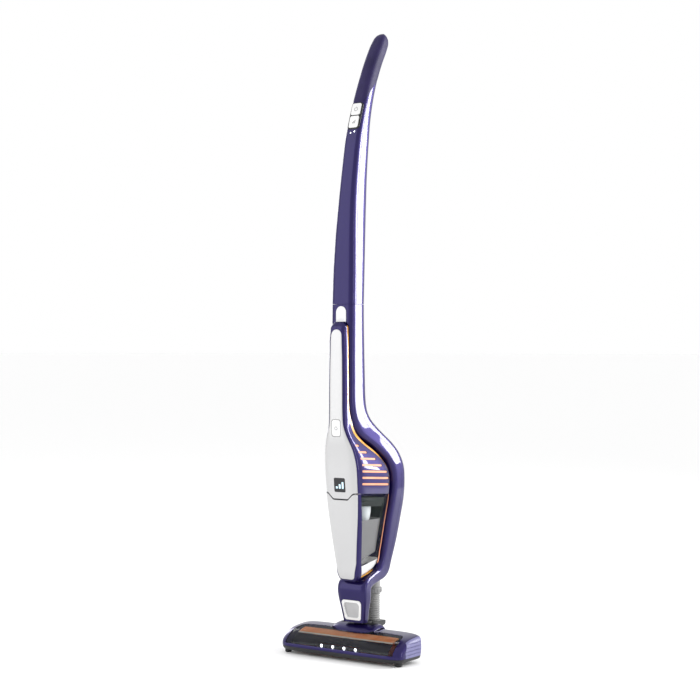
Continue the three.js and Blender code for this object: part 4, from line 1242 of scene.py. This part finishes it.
def make_cup_inside():
    collar = loft("collar", CUP_SECTIONS, 5.4, 5.4, -6)
    cut(collar, loft("hollow", CUP_SECTIONS, 7.0, 7.0, -8))
    clip(collar, prism("upper", [(-70, 252), (40, 246), (40, 283), (-70, 291)], -50, 50, "X"))
    for _, sign in SIDES:
        opening = rounded([(-54, 236), (19, 236), (19, 275), (-54, 283)], 6)
        cut(collar, prism("opening", opening, *span(sign, 18, 60), "X"))
    slab = clip(
        loft("slab", CUP_SECTIONS, 7.2, 7.2, -6),
        prism("slab_region", [(-66, 274.5), (38, 267), (38, 275), (-66, 282.5)], -50, 50, "X"),
    )
    cut(slab, drum(19.5, 250, 300, (0, -8)))
    join(collar, slab)
    piece(collar, "filter_collar", DARK_GREEN, "cup", ["filter_holder"], 0.3)

    chamber = loft("chamber", HANDHELD[1:5], 7.2, 23.2, 3)
    cut(chamber, loft("hollow", HANDHELD[1:5], 9, 26, -6))
    piece(chamber, "grey_chamber", CHAMBER, "cup", ["outer_filter"], 0.5)

    outside = [(0, 203), (4.6, 203.4), (6.2, 206), (9, 217), (12.5, 233), (16.8, 248), (18.6, 258)]
    outside += [(19, 266), (18, 273), (15.6, 278), (14, 279)]
    inside = [(12, 279), (16, 270), (16.4, 260), (14.4, 248), (10, 233), (4, 207), (0, 207)]
    cone = turned("cone", outside + inside, (0, -8, 0))
    piece(cone, "pleated_cone", CONE, "cup", ["inner_filter"], 0.2)

    tray = loft("tray", HANDHELD[:3], 3.0, 3.0, 0)
    cut(tray, loft("hollow", HANDHELD[:3], 4.2, 4.4, -3), drum(11, 130, 185, NECK_CORE))
    cut(tray, prism("above", [(-60, 160.5), (40, 178), (40, 260), (-60, 260)], -50, 50, "X"))
    piece(tray, "cup_floor_liner", WHITE, "cup", (), 0.2)


# ---------------- pieces kept from the CAD


def dress_cad_nodes():
    """Gives each CAD node that still shows its material, and rounds its edges."""
    slots = {entry["node"]: entry["material_slot"] for entry in frame["record"]["subparts"]}
    special = {"battery_pack": CELL, "cleaning_bar": STRIP, "hose_lower_cuff": GREY}
    for name, obj in frame["nodes"].items():
        if obj.hide_render:
            continue
        obj.data.materials.clear()
        obj.data.materials.append(special.get(name) or CAD_LOOKS.get(slots[name], GREY))
        smooth(obj, 34)
        rounding(obj, 0.3)


# ---------------- stage, light and camera


FLOOR_HALF = 200000
FLOOR_HEIGHT = -0.2
# name, place, height that it looks at, width and height, power
SOFTBOXES = (
    ("key", (-1.75, -2.4, 1.55), 1.55, (1.5, 3.0), 19),
    ("side", (1.75, 2.2, 1.38), 1.38, (0.4, 2.1), 75),
    ("strip", (2.8, 0.3, 0.75), 0.75, (0.14, 1.4), 9),
    ("rim", (-2.5, 1.2, 1.4), 1.0, (0.7, 2.0), 22),
)
CAMERA_PLACE = (1.6962, -2.3748, 0.5525)
CAMERA_AZIMUTH = 36
CAMERA_LENS = 82.44
SENSOR_WIDTH = 36


def make_stage():
    """A white floor and world, with four softboxes that the camera does not see."""
    half, z = FLOOR_HALF, FLOOR_HEIGHT
    corners = [(-half, -half, z), (half, -half, z), (half, half, z), (-half, half, z)]
    floor = mesh_object("studio_floor", corners, [(0, 1, 2, 3)])
    nearly_white = ((0.975, 0.975, 0.975), (0.985, 0.985, 0.985))
    floor.data.materials.append(plastic("studio_floor", *nearly_white, 0.7, bump=0.02))
    world = bpy.data.worlds.new("studio")
    world.use_nodes = True
    background = world.node_tree.nodes["Background"]
    background.inputs["Color"].default_value = (1, 1, 1, 1)
    background.inputs["Strength"].default_value = 1.0
    bpy.context.scene.world = world
    for name, place, aim_height, size, power in SOFTBOXES:
        light = bpy.data.lights.new(name, "AREA")
        light.shape = "RECTANGLE"
        light.size, light.size_y = size
        light.energy = power
        lamp = bpy.data.objects.new(name, light)
        lamp.location = place
        aim = Vector((0, 0, aim_height)) - Vector(place)
        lamp.rotation_euler = aim.to_track_quat("-Z", "Y").to_euler()
        lamp.visible_camera = False
        bpy.context.scene.collection.objects.link(lamp)
    bpy.context.scene.view_settings.view_transform = "Standard"


def make_camera():
    camera = bpy.data.cameras.new("camera")
    camera.lens = CAMERA_LENS
    camera.sensor_width = SENSOR_WIDTH
    eye = bpy.data.objects.new("camera", camera)
    eye.location = CAMERA_PLACE
    eye.rotation_euler = (math.pi / 2, 0, math.radians(CAMERA_AZIMUTH))
    bpy.context.scene.collection.objects.link(eye)
    bpy.context.scene.camera = eye


make_camera()
make_nozzle_shell()
make_nozzle_window()
make_nozzle_caps()
make_nozzle_base()
make_lamps()
make_brush()
make_wheels()
make_hose()
make_cradle()
make_handle()
make_housing()
make_cup()
dress_cad_nodes()
make_stage()
